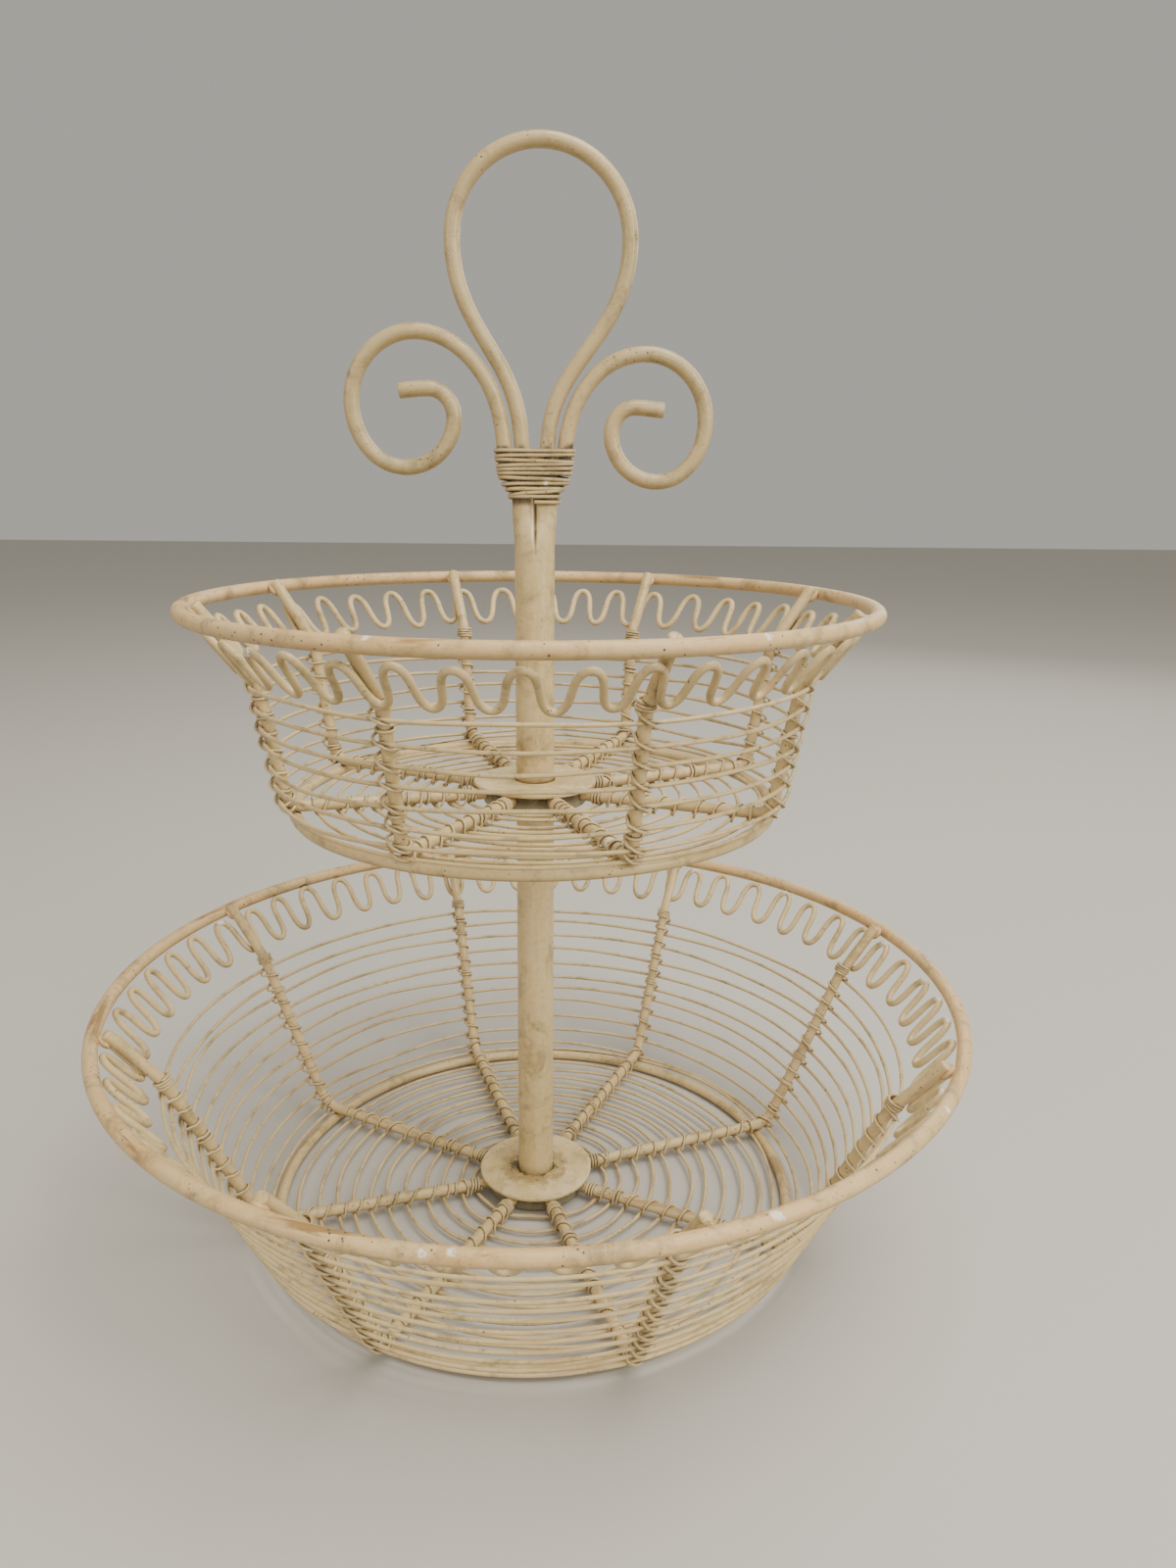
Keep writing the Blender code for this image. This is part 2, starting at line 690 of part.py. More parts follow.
def add_scroll(column, side, name, reach, top, depth):
    points = [
        Vector((side * STEM_FOOT_OFFSET, 0, STEM_BOTTOM)),
        Vector((side * STEM_OFFSET, 0, BINDING_TOP)),
    ]
    upright = True
    for reach_share, depth_share in SCROLL_SHARES:
        x = STEM_OFFSET + (reach - STEM_OFFSET) * reach_share
        place = Vector((side * x, 0, top - depth * (1 - depth_share)))
        points += quarter(points[-1], place, upright, QUARTER_POINTS)
        upright = not upright
    points.append(points[-1] + Vector((side * SCROLL_END_LENGTH, 0, -SCROLL_END_DROP)))
    wire(name, points, HANDLE_ROD, HANDLE_SIDES, column, twist="MINIMUM")


def binding_half_widths(height):
    """Half width and half depth of what the wire binds at a height: tube below, rods above."""
    share = (height - BINDING_NECK) / (BINDING_SHOULDER - BINDING_NECK)
    share = min(max(share, 0), 1)
    up_stem = max((height - STEM_BOTTOM) / (BINDING_TOP - STEM_BOTTOM), 0)
    stem = STEM_FOOT_OFFSET + (STEM_OFFSET - STEM_FOOT_OFFSET) * up_stem
    tube_depth = HANDLE_ROD / 2 + LEG_PLAY + TUBE_WALL
    tube_width = LEG_OFFSET + tube_depth
    rods_width = stem + HANDLE_ROD / 2
    return tube_width + (rods_width - tube_width) * share, tube_depth


def add_binding(column):
    """The thin wire wound round the tube's top, the loop's legs and the scrolls' stems."""
    per_turn = len(BINDING_CORNERS)
    count = BINDING_TURNS * per_turn
    points = []
    for i in range(count + 1):
        height = BINDING_BOTTOM + (BINDING_TOP - BINDING_BOTTOM) * i / count
        width, depth = binding_half_widths(height)
        side, lean = BINDING_CORNERS[i % per_turn]
        reach = (depth + GAP + BINDING_WIRE / 2) * BINDING_EASE_SHARE
        x = side * (width - depth) + reach * math.cos(math.radians(lean))
        points.append(Vector((x, reach * math.sin(math.radians(lean)), height)))
    wire("binding_wire", points, BINDING_WIRE, THIN_SIDES, column)
    report_gap("binding wire", points, BINDING_WIRE, per_turn // 2)


def add_column():
    column = add_empty("column")
    rod_top = add_post(column)
    add_clamp(column, rod_top)
    add_loop(column)
    add_scroll(
        column, -1, "scroll_left", SCROLL_REACH_LEFT, SCROLL_TOP_LEFT, SCROLL_DEPTH_LEFT
    )
    add_scroll(
        column, 1, "scroll_right", SCROLL_REACH_RIGHT, SCROLL_TOP_RIGHT, SCROLL_DEPTH_RIGHT
    )
    add_binding(column)


clear_scene()
add_basket(LOWER)
add_basket(UPPER)
add_column()
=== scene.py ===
"""Looks of the two-tier wire etagere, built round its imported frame. Metres, +Z up."""
import math
from collections import namedtuple

import bpy
import numpy as np
from mathutils import Matrix, Vector
from mathutils.kdtree import KDTree
from numpy.linalg import norm


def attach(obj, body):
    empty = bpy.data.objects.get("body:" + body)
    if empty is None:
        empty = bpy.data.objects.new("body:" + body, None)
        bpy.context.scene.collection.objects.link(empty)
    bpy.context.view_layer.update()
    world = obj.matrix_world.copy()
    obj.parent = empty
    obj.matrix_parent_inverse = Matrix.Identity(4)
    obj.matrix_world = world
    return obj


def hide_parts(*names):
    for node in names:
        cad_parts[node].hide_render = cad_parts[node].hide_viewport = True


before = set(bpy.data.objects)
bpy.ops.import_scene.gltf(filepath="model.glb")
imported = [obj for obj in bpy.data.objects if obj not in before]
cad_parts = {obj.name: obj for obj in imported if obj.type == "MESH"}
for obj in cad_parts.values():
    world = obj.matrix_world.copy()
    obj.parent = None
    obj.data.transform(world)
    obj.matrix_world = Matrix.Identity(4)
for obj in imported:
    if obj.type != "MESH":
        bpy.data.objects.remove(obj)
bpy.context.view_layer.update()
SEED = 2516
UP = np.array((0.0, 0.0, 1.0))

# Stock, as in the part's source
RIM_ROD = 0.0058
BASE_ROD = 0.0048
RIB_ROD = 0.0048
WAVE_ROD = 0.0028
THIN_WIRE = 0.0016
HANDLE_ROD = 0.0060
GAP = 0.0003
WAVE_PLAY = 0.0001

# Baskets. The fields stand in two rows, and so do their values.
RIBS = 8
KINK_CORNER = 0.0060
TIP_SETBACK = 0.0012
WALL_PLAY = 0.0003
WALL_LEVEL_RISE = 0.0026
WALL_END = 0.0010
Basket = namedtuple(
    "Basket",
    "tier height turn rim_radius rim_height kink_radius kink_height base_radius bend_outset "
    "bend_corner wave_headroom wave_foot wave_neck wave_turn waves_per_bay wall_turns floor_turns",
)
LOWER = Basket(
    "lower", 0.0, math.radians(-5.8), 0.180, 0.103, 0.156, 0.082, 0.115, 0.0055,
    0.0120, 0.0006, 0.0062, 0.42, 0.45, 7, 12, 11,
)
UPPER = Basket(
    "upper", 0.1854, math.radians(-3.8), 0.1345, 0.0830, 0.1100, 0.0600, 0.0980, 0.0028,
    0.0070, 0.0056, 0.0051, 0.31, -0.27, 5, 8, 9,
)
RIB_CLEAR_OF_RING = BASE_ROD / 2 + GAP + RIB_ROD / 2

# Hub
HUB_DISC = 0.0510
HUB_SHEET = 0.0016
HUB_STANDOFF = 0.0007
COLLAR_OUTER = 0.0430
COLLAR_WALL = 0.0015
COLLAR_HEIGHT = 0.0070
HOLE_PLAY = 0.00025
FLOOR_START = 0.0022
HUB_EDGE = 0.0004
HUB_STEPS = 96
DISC_ROWS, COLLAR_ROWS = 12, 8
DISC_WARP, WARP_TURN = 0.00018, 0.7
# The worn ring round the post: its reach, its least share round the post, its share upstairs
WORN_RING, WORN_RING_LEAST, UPPER_WORN_SHARE = 0.011, 0.55, 0.45
# Painted shade on the collar, darkest at its top under the disc: its strength, and the offset that
# keeps its foot unshaded
COLLAR_SHADE, COLLAR_UNSHADED = 0.9, 0.1
COLLAR_TOP = HUB_STANDOFF + COLLAR_HEIGHT
DISC_BOTTOM = COLLAR_TOP + GAP
DISC_TOP = DISC_BOTTOM + HUB_SHEET
RIB_AT_HUB = DISC_BOTTOM - GAP - RIB_ROD / 2

# Post
TUBE_OUTER = 0.0158
TUBE_WALL = 0.0010
TUBE_TOP = 0.3130
CRIMP_START = 0.2890
CRIMP_FULL = 0.3050
CREASE_START = 0.2880
CREASE_WIDTH, CREASE_WIDENING, CREASE_DEPTH = 0.0002, 0.0014, 0.0026
CREASE_ONSET, CREASE_SIDES, MOST_DENT = 0.8, 1.5, 0.6
LEG_PLAY = 0.0006
LEG_OFFSET = 0.0042
TUBE_EDGE = 0.0002
TUBE_STEPS, CRIMP_STEPS = 64, 132
TUBE_ROWS, PLAIN_ROWS, CRIMP_ROWS = 60, 24, 40
POINT_CROWDING = 0.42
# Painted shade and grime on the post: reach and strength at each place, where the crease has a
# painted shadow and a painted highlight, and where the binding wraps the tube
LOWER_FOOT_SHADE_AND_DIRT, LOWER_NECK_SHADE_AND_DIRT, UPPER_FOOT_SHADE_AND_DIRT = (0.007, 0.38), (0.006, 0.6), (0.004, 0.4)
CREASE_FULL = 0.2970
CREASE_SHADOW_LINE, CREASE_HIGHLIGHT_LINE = (0.0003, 0.0005), (-0.0009, 0.0004)
CREASE_HIGHLIGHT_SHARE, CREASE_HIGHLIGHT_FROM = 0.9, -0.1
WRAPPED, WRAPPED_SHADE_AND_DIRT = (0.3050, 0.3080), 0.7

# Handle
LEG_BOTTOM = 0.3040
LEG_STRAIGHT_TOP = 0.3150
LOOP_FORK = 0.3300
LOOP_FORK_OFFSET = 0.0050
LOOP_SIDE_HEIGHT = 0.4023
LOOP_TOP = 0.4355
LOOP_TOP_OFFSET = 0.0027
STEM_OFFSET = 0.0118
STEM_FOOT_OFFSET = 0.0107
STEM_BOTTOM = 0.3180
BINDING_TOP = 0.3268
SCROLL_END_LENGTH = 0.0105
SCROLL_END_DROP = 0.0013
SCROLL_SHARES = ((0.555, 1), (1, 0.485), (0.658, 0), (0.322, 0.375), (0.498, 0.590))
# Each side of the loop: its reach, and the pulls of its curve at the fork and at its widest
LEFT_SIDE, RIGHT_SIDE = (0.0309, 0.0324, 0.0344), (0.0363, 0.0297, 0.0350)
# Each scroll: its reach, top and depth
LEFT_SCROLL, RIGHT_SCROLL = (0.0701, 0.3700, 0.0504), (0.0667, 0.3631, 0.0479)
SIDE_STEPS, TOP_STEPS, SCROLL_STEPS = 30, 18, 14
EASED_STEP = 0.0022
SCROLL_PASSES, LOOP_PASSES, BINDING_PASSES = 6, 10, 3
# Reach of the painted shade and grime where the handle's wires meet, and its share on the binding
HANDLE_SHADE_AND_DIRT_REACH, BINDING_SHADE_AND_DIRT_SHARE = 0.0012, 0.5

# Binding
BINDING_TURNS = 11
BINDING_WIRE = 0.0017
BINDING_PITCH = 0.00172
BINDING_FOOT = 0.3078
BINDING_POINTS = 48
BINDING_PLAY = 0.0001
BINDING_SQUARENESS = 0.5
# How much a turn leans and shifts by chance, and what the first one does
BINDING_LEAN, BINDING_SHIFT = 0.00042, 0.00024
FIRST_LEAN, FIRST_SHIFT = -0.0004, -0.0003
# Where the binding leaves the tube for the rods
TUBE_LEFT = (0.3115, 0.3145)
# Height and outer half width of the binding, from the photograph, in millimetres
BINDING_OUTLINE = (
    (307, 10.4), (310.5, 10.7), (312.5, 12.0), (314.5, 13.6), (318, 14.9), (328, 16.3),
)
# Shares of the binding wire's radius where the painted shade and grime between its turns start and
# are full
GROOVE = (0.55, 0.90)

# How far the hand-bent wires stray
WAVE_SAMPLES = 26
WAVE_DRIFT, WAVE_SWING_PLAY = 0.30, 0.05
WAVE_HEIGHT_PLAY, WAVE_OVERSHOOT, WAVE_PROUD = 0.0005, 0.0004, 0.0003
RING_POINTS, RING_KNOTS, RIM_WOBBLE = 720, 4, 0.0002

# Welds, wear and chips. In the attribute of marks and shading, 1 is painted shade and grime in a
# corner, and -1 is paint worn down to the primer.
WELD_SIZE = (0.0036, 0.0031, 0.0016)
WELD_SETBACK, WELD_SINK_SHARE = 0.0026, 0.42
WELD_FLECKS, FLECK_MARK, WELD_DIRT = 0.03, -0.8, 0.20
BLOB_ROWS, BLOB_COLUMNS, BLOB_PLAY = 9, 14, 0.04
WORN_CRESTS = {"lower": 0.12, "upper": 0.03}
WORN_REACH, RUB_EDGE = 0.0030, 0.6
# Where paint has come off a rim: bearing and height of the normal, both in degrees
RIM_CHIPS = {
    "lower": ((293.0, 62), (293.6, 40), (262.5, 58), (259.8, 35), (322.0, 50), (64.0, 60)),
    "upper": ((338.0, 55), (339.5, 30), (249.0, 60), (196.0, 50), (301.0, 45), (118.0, 65)),
}
CHIP_REACH = 0.0018
# How far above the rim's middle the ribs' ends are ground flat
GROUND_AT = {"lower": 0.0038, "upper": 0.0052}
# Scar on one spoke: first primer, then rust. For each: how far inside the spoke's bend it shows,
# how far it reaches, and its mark in the attribute of marks and shading
SCARRED_RIB, SCAR_LEAN = 6, math.radians(40)
SCARS = ((0.0165, 0.0022, -2.0), (0.0138, 0.0019, 2.0))
# Chips on the front of the binding
BINDING_CHIPS = ((0.0036, -0.0048, 0.3196), (0.0044, -0.0048, 0.3146), (0.0012, -0.0048, 0.3122))
BINDING_CHIP_REACH = 0.0012

# How the thin tying wire is wound round the ribs
TIE_POINTS = 26
TIE_PITCH = 0.00135
TIE_TURNS = 3
TIE_SLACK = 0.0003
Ties = namedtuple("Ties", "wire span ear doubled")
WALL_TIES = Ties(0.0011, 0.0030, 0.0008, 0.30)
FLOOR_TIES = Ties(0.0009, 0.0022, 0.0002, 0.12)
HUB_FAN = 3
FAN_START = HUB_DISC / 2 + 0.0010 - COLLAR_OUTER / 2 - FLOOR_START
BAY_POINTS = 16
BAY_SAG = 0.0009
CROSSING_JITTER = 0.0008
MOST_JITTER = 1.5
# Where a tie stands off its rib on its way over, and how square its way is
EAR = (0.70, 0.22)
SIDE_POWER, OVER_POWER = 0.75, 0.65
TIE_SPAN_SHARES = (0.8, 1.1)
HALF_TURN = 0.5
END_LOOSENESS, LOOSE_BEAT = 0.0002, 2.3

# For each kind of wire: look, slot, sides of its section, reach of the painted shade and grime in
# its corners, and CAD nodes
WIRES = {
    "rim": ("rim", "cream_rod", 16, 0.0012, ["rim_ring"]),
    "base": ("rod", "cream_rod", 14, 0.0010, ["base_ring"]),
    "ribs": ("rib", "cream_rod", 12, 0.0006, [f"rib_{i + 1}" for i in range(RIBS)]),
    "wave": ("wire", "cream_wire", 10, 0.0010, ["wave_wire"]),
    "wall": ("wire", "cream_wire", 8, 0.0010, ["wall_wire"]),
    "floor": ("wire", "cream_wire", 8, 0.0010, ["floor_wire"]),
    "ties": ("tie", "cream_wire", 8, 0.0004, []),
}
# Rod, look, slot and sides of the section
HANDLE_FINISH = (HANDLE_ROD, "handle", "cream_rod", 18)
BINDING_FINISH = (BINDING_WIRE, "binding", "cream_wire", 10)
TUBE_BLUNT, HANDLE_BLUNT, NEARLY_UPRIGHT = 0.85, 0.9, 0.9
EDGE_POINTS = 4
LONG_RUN = 0.004

# Colours
CREAM = (0.645, 0.480, 0.205, 1)
CREAM_LIGHT = (0.770, 0.610, 0.340, 1)
CREAM_PINK = (0.665, 0.470, 0.225, 1)
CREAM_TIE = (0.610, 0.470, 0.235, 1)
WIRE_CREAM = (0.635, 0.475, 0.215, 1)
WIRE_LIGHT = (0.730, 0.575, 0.310, 1)
COLLAR_GREY = (0.250, 0.215, 0.125, 1)
COLLAR_LIGHT = (0.340, 0.300, 0.190, 1)
# Primer, and the painted highlight beside the tube's crease
PRIMER_AND_HIGHLIGHT = (0.880, 0.810, 0.660, 1)
RED_RUST = (0.170, 0.060, 0.025, 1)
OLIVE = (0.180, 0.125, 0.045, 1)
# Near black: painted deep shade in corners, and the darkest stain on the hub
SHADE_AND_GRIME = (0.042, 0.028, 0.012, 1)
RUST = (0.050, 0.028, 0.014, 1)
OCHRE = (0.330, 0.190, 0.060, 1)
RIM_TONE = (0.680, 0.420, 0.170, 1)
RIM_LIGHT = (0.770, 0.550, 0.270, 1)
HANDLE_TONE = (0.480, 0.360, 0.160, 1)
HANDLE_LIGHT = (0.600, 0.470, 0.250, 1)
ROD_TONE = (0.605, 0.440, 0.185, 1)
ROD_LIGHT = (0.715, 0.555, 0.290, 1)
STAIN = (0.330, 0.215, 0.070, 1)
ZINC = (0.42, 0.40, 0.37, 1)
DULL_ZINC = (0.22, 0.19, 0.15, 1)
FLOOR_TONE = (0.56, 0.53, 0.47, 1)
STUDIO_TONE = (0.87, 0.84, 0.76, 1)

# Share of the painted shade and grime, chips, roughness, tone and light tone of each paint
PAINTS = {
    "rod": (0.9, 0.6, 0.36, ROD_TONE, ROD_LIGHT),
    "rib": (0.75, 0.6, 0.36, ROD_TONE, ROD_LIGHT),
    "handle": (0.9, 0.6, 0.26, HANDLE_TONE, HANDLE_LIGHT),
    "wire": (0.8, 0.5, 0.38, WIRE_CREAM, WIRE_LIGHT),
    "tie": (0.45, 0.2, 0.42, CREAM_TIE, WIRE_LIGHT),
    "rim": (0.9, 0.95, 0.44, RIM_TONE, RIM_LIGHT),
    "post": (0.9, 0.1, 0.33, CREAM, CREAM_LIGHT),
    "binding": (0.65, 0.8, 0.45, HANDLE_TONE, HANDLE_LIGHT),
    "collar": (0.9, 0.8, 0.50, COLLAR_GREY, COLLAR_LIGHT),
}
# How much of the place along a rod a lengthwise streak keeps
STRETCH = (0.10, 0.10, 0.10)

# Soft panels of light: size, power, place and colour
PANELS = {
    "sky_panel": ((1.4, 1.2), 32, (0.45, -0.25, 1.8), (1.0, 0.985, 0.95)),
    "front_panel": ((1.2, 0.8), 8, (0.4, -1.9, 1.2), (1.0, 0.98, 0.95)),
    "left_panel": ((0.5, 1.4), 6, (-1.5, -0.9, 0.8), (1.0, 0.96, 0.92)),
    "right_panel": ((0.40, 1.3), 15, (1.3, -1.1, 0.9), (1.0, 1.0, 0.95)),
    "back_panel": ((1.2, 0.8), 5, (0.8, 1.4, 0.9), (1.0, 1.0, 1.0)),
}
LIT_PLACE = (0, 0, 0.2)
STUDIO_GLOW = 0.50
FLOOR_HALF, FLOOR_DROP, FLOOR_ROUGHNESS = 6.0, 0.0002, 0.85

# Photograph's camera
CAMERA_BACK = 2.455 * LOWER.rim_radius
CAMERA_RISE = 1.724 * LOWER.rim_radius + BASE_ROD / 2
CAMERA_YAW = math.radians(-2.88)
CAMERA_PITCH = math.radians(15.18)
CAMERA_ROLL = math.radians(0.65)
FOCAL_PIXELS = 1110
PICTURE_LONG_SIDE = 1600
SENSOR = 36.0
NEAREST_SEEN = 0.01

rng = np.random.RandomState(SEED)


def unit(vectors):
    return vectors / norm(vectors, axis=-1, keepdims=True)


def rising(value, start, end):
    """From 0 at the start to 1 at the end."""
    return np.clip((value - start) / (end - start), 0, 1)


def fading(distance, reach, strength=1.0):
    """Full strength at no distance, down to nothing at the reach."""
    return (1 - rising(distance, 0, reach)) * strength


def hump(value, middle, width):
    return np.exp(-(((value - middle) / width) ** 2))


def smooth_step(share):
    return share * share * (3 - 2 * share)


def sideways(azimuth):
    return np.array((-math.sin(azimuth), math.cos(azimuth), 0))


def wander(count, size, knots):
    """A smooth random offset along a closed line of points: a few sines of random phase."""
    share = np.arange(count) / count
    made = np.zeros(count)
    for knot in range(1, knots + 1):
        made += rng.normal() * np.sin(math.tau * (knot * share + rng.uniform()))
    return size * made / math.sqrt(knots)


class Shape:
    """Vertices and faces gathered from tubes and turned forms, for one piece."""

    def __init__(self):
        self.verts, self.faces, self.sections = [], [], []

    def add(self, verts, faces, sections=None):
        before = sum(len(part) for part in self.verts)
        self.faces += [tuple(index + before for index in face) for face in faces]
        self.verts.append(verts)
        self.sections.append(verts * (1, 1, 0) if sections is None else sections)

    def tube(self, points, rod, sides, closed=False, blunt=TUBE_BLUNT):
        self.add(*sweep(points, rod / 2, sides, closed, blunt))


def bands(rows, size, closed, flipped):
    """Faces between rows of points. Each row is closed on itself, and the rows can be as well."""
    faces = []
    for i in range(rows if closed else rows - 1):
        here, there = i * size, (i + 1) % rows * size
        for k in range(size):
            m = (k + 1) % size
            if flipped:
                faces.append((here + k, there + k, there + m, here + m))
            else:
                faces.append((here + k, here + m, there + m, there + k))
    return faces


def sweep(points, radius, sides, closed, blunt):
    """A round tube along the points, with slightly rounded ends unless it is closed."""
    points = np.asarray(points, float)
    count = len(points)
    if closed:
        ahead = unit(np.roll(points, -1, 0) - np.roll(points, 1, 0))
    else:
        ahead = unit(np.gradient(points, axis=0))
    start = UP if abs(ahead[0][2]) < NEARLY_UPRIGHT else np.array((1.0, 0, 0))
    normal = np.cross(ahead[0], start)
    normals = np.empty((count, 3))
    for i, direction in enumerate(ahead):
        normal = unit(normal - direction * (normal @ direction))
        normals[i] = normal
    if closed:
        carried = unit(normals[-1] - ahead[0] * (normals[-1] @ ahead[0]))
        slip = math.atan2(carried @ np.cross(ahead[0], normals[0]), carried @ normals[0])
        lean = -slip * np.arange(count)[:, None] / count
        normals = normals * np.cos(lean) + np.cross(ahead, normals) * np.sin(lean)
    across = np.cross(ahead, normals)
    angles = math.tau * np.arange(sides) / sides
    section = np.cos(angles)[:, None] * normals[:, None] + np.sin(angles)[:, None] * across[:, None]
    rings = list(points[:, None] + radius * section)
    if not closed:
        soft = radius * (1 - blunt)
        rings.insert(0, points[0] - soft * ahead[0] + radius * blunt * section[0])
        rings.append(points[-1] + soft * ahead[-1] + radius * blunt * section[-1])
    verts = np.concatenate(rings)
    total = len(rings)
    faces = bands(total, sides, closed, False)
    if not closed:
        verts = np.concatenate([verts, [rings[0].mean(0), rings[-1].mean(0)]])
        first, last, base = total * sides, total * sides + 1, (total - 1) * sides
        for k in range(sides):
            m = (k + 1) % sides
            faces += [(first, m, k), (last, base + k, base + m)]
    flat = radius * np.stack([np.cos(angles), np.sin(angles), 0 * angles], axis=1)
    sections = np.zeros((len(verts), 3))
    sections[: total * sides] = np.tile(flat, (total, 1))
    return verts, faces, sections


def turned(profile, steps):
    """A closed outline of radius and height pairs, swung round the post's axis."""
    angles = math.tau * np.arange(steps) / steps
    verts = np.array([(r * math.cos(a), r * math.sin(a), z) for a in angles for r, z in profile])
    return verts, bands(steps, len(profile), True, True)


def blob(centre, axes, sizes):
    """A lump of weld or paint: an uneven ellipsoid."""
    rows, columns = BLOB_ROWS - 1, BLOB_COLUMNS
    lean = np.repeat(math.pi * np.arange(1, BLOB_ROWS) / BLOB_ROWS, columns)
    turn = np.tile(math.tau * np.arange(columns) / columns, rows)
    verts = at_azimuth(np.stack([np.sin(lean), np.cos(lean)], axis=1), turn)
    verts *= 1 + BLOB_PLAY * rng.normal(size=(len(verts), 1))
    verts = np.concatenate([verts, [UP, -UP]]) * sizes @ np.array(axes) + centre
    top, bottom, last = rows * columns, rows * columns + 1, (rows - 1) * columns
    faces = bands(rows, columns, False, True)
    for k in range(columns):
        m = (k + 1) % columns
        faces += [(top, k, m), (bottom, last + m, last + k)]
    return verts, faces


def densify(points, step=0.0005, closed=False):
    """The polyline with points about a step apart along its long runs."""
    points = np.asarray(points, float)
    if closed:
        points = np.concatenate([points, points[:1]])
    made = [points[0]]
    for a, b in zip(points, points[1:]):
        made += straight(a, b, step)
    return np.array(made)


def corner_shade_and_dirt(near, owner, verts, reach):
    """How close each vertex is to the surface of other pieces nearby: 1 where they touch. It is
    painted as shade and grime in the corners between parts.
    """
    others = [(points, radius) for who, points, radius in near if who != owner]
    radii = np.repeat([radius for _, radius in others], [len(points) for points, _ in others])
    tree = KDTree(len(radii))
    for index, point in enumerate(np.concatenate([points for points, _ in others])):
        tree.insert(point, index)
    tree.balance()
    found = [tree.find(vert) for vert in verts]
    return fading(np.array([distance - radii[index] for _, index, distance in found]), reach)


def make_piece(name, shape, body, material, nodes, shading_and_marks):
    mesh = bpy.data.meshes.new(name)
    mesh.from_pydata(np.concatenate(shape.verts).tolist(), [], shape.faces)
    mesh.shade_smooth()
    mesh.attributes.new("shading_and_marks", "FLOAT", "POINT").data.foreach_set("value", shading_and_marks)
    section = mesh.attributes.new("section", "FLOAT_VECTOR", "POINT")
    section.data.foreach_set("vector", np.concatenate(shape.sections).ravel())
    mesh.materials.append(material)
    made = bpy.data.objects.new(name, mesh)
    bpy.context.collection.objects.link(made)
    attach(made, body)
    if nodes:
        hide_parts(*nodes)


def at_azimuth(flat, azimuth):
    """Points of radius and height pairs, swung to azimuths."""
    radius, height = np.atleast_2d(flat).T
    return np.stack([radius * np.cos(azimuth), radius * np.sin(azimuth), height], axis=1)


def lifted(points, basket):
    """Moves a basket's own points to its tier: up the post, and turned about it."""
    x, y, z = points.T
    c, s = math.cos(basket.turn), math.sin(basket.turn)
    return np.stack([x * c - y * s, x * s + y * c, z + basket.height], axis=1)


def rib_azimuth(index):
    return math.tau * (index + 0.5) / RIBS


def wall_lean(basket):
    rise = basket.kink_height - BASE_ROD / 2 - RIB_CLEAR_OF_RING
    return math.atan2(rise, basket.kink_radius - basket.base_radius - basket.bend_outset)


def bend_centre(basket):
    setback = basket.bend_corner * math.tan(wall_lean(basket) / 2)
    radius = basket.base_radius + basket.bend_outset - setback
    over_ring = max(basket.base_radius - radius, 0)
    reach = basket.bend_corner + RIB_CLEAR_OF_RING
    return np.array((radius, BASE_ROD / 2 + math.sqrt(reach**2 - over_ring**2)))


def floor_height(radius, basket):
    share = (radius - HUB_DISC / 2) / (basket.base_radius - HUB_DISC / 2)
    at_ring = bend_centre(basket)[1] - basket.bend_corner
    return RIB_AT_HUB + (at_ring - RIB_AT_HUB) * share


def rib_corners(basket):
    """Hub end, floor bend, kink and tip of a rib as radius and height pairs."""
    hub_end = COLLAR_OUTER / 2 + GAP
    bend = basket.base_radius + basket.bend_outset
    rim = np.array((basket.rim_radius, basket.rim_height))
    kink = np.array((basket.kink_radius, basket.kink_height))
    reach = norm(rim - kink)
    clear = RIM_ROD / 2 + GAP + RIB_ROD / 2
    lift = math.atan2(*(rim - kink)[::-1]) + math.asin(clear / reach)
    length = math.sqrt(reach**2 - clear**2) - TIP_SETBACK
    tip = kink + length * np.array((math.cos(lift), math.sin(lift)))
    ends = [np.array((radius, floor_height(radius, basket))) for radius in (hub_end, bend)]
    return [*ends, kink, tip]


def rounded(corners, radii, steps=17, spacing=0.0007):
    """The line through the corners, with arcs at the inner ones and points along its runs."""
    made = [corners[0]]
    for before, corner, after, radius in zip(corners, corners[1:], corners[2:], radii):
        towards, onwards = unit(before - corner), unit(after - corner)
        half = math.acos(np.clip(towards @ onwards, -1, 1)) / 2
        centre = corner + unit(towards + onwards) * radius / math.sin(half)
        start = corner + towards * radius / math.tan(half) - centre
        end = corner + onwards * radius / math.tan(half) - centre
        arc = math.acos(np.clip(start @ end / radius**2, -1, 1))
        made += straight(made[-1], centre + start, spacing)
        for i in range(1, steps):
            angle = arc * i / (steps - 1)
            spoke = start * math.sin(arc - angle) + end * math.sin(angle)
            made.append(centre + spoke / math.sin(arc))
    made += straight(made[-1], corners[-1], spacing)
    return np.array(made)


def straight(start, end, spacing):
    parts = max(int(norm(end - start) / spacing), 1)
    return [start + (end - start) * (i + 1) / parts for i in range(parts)]


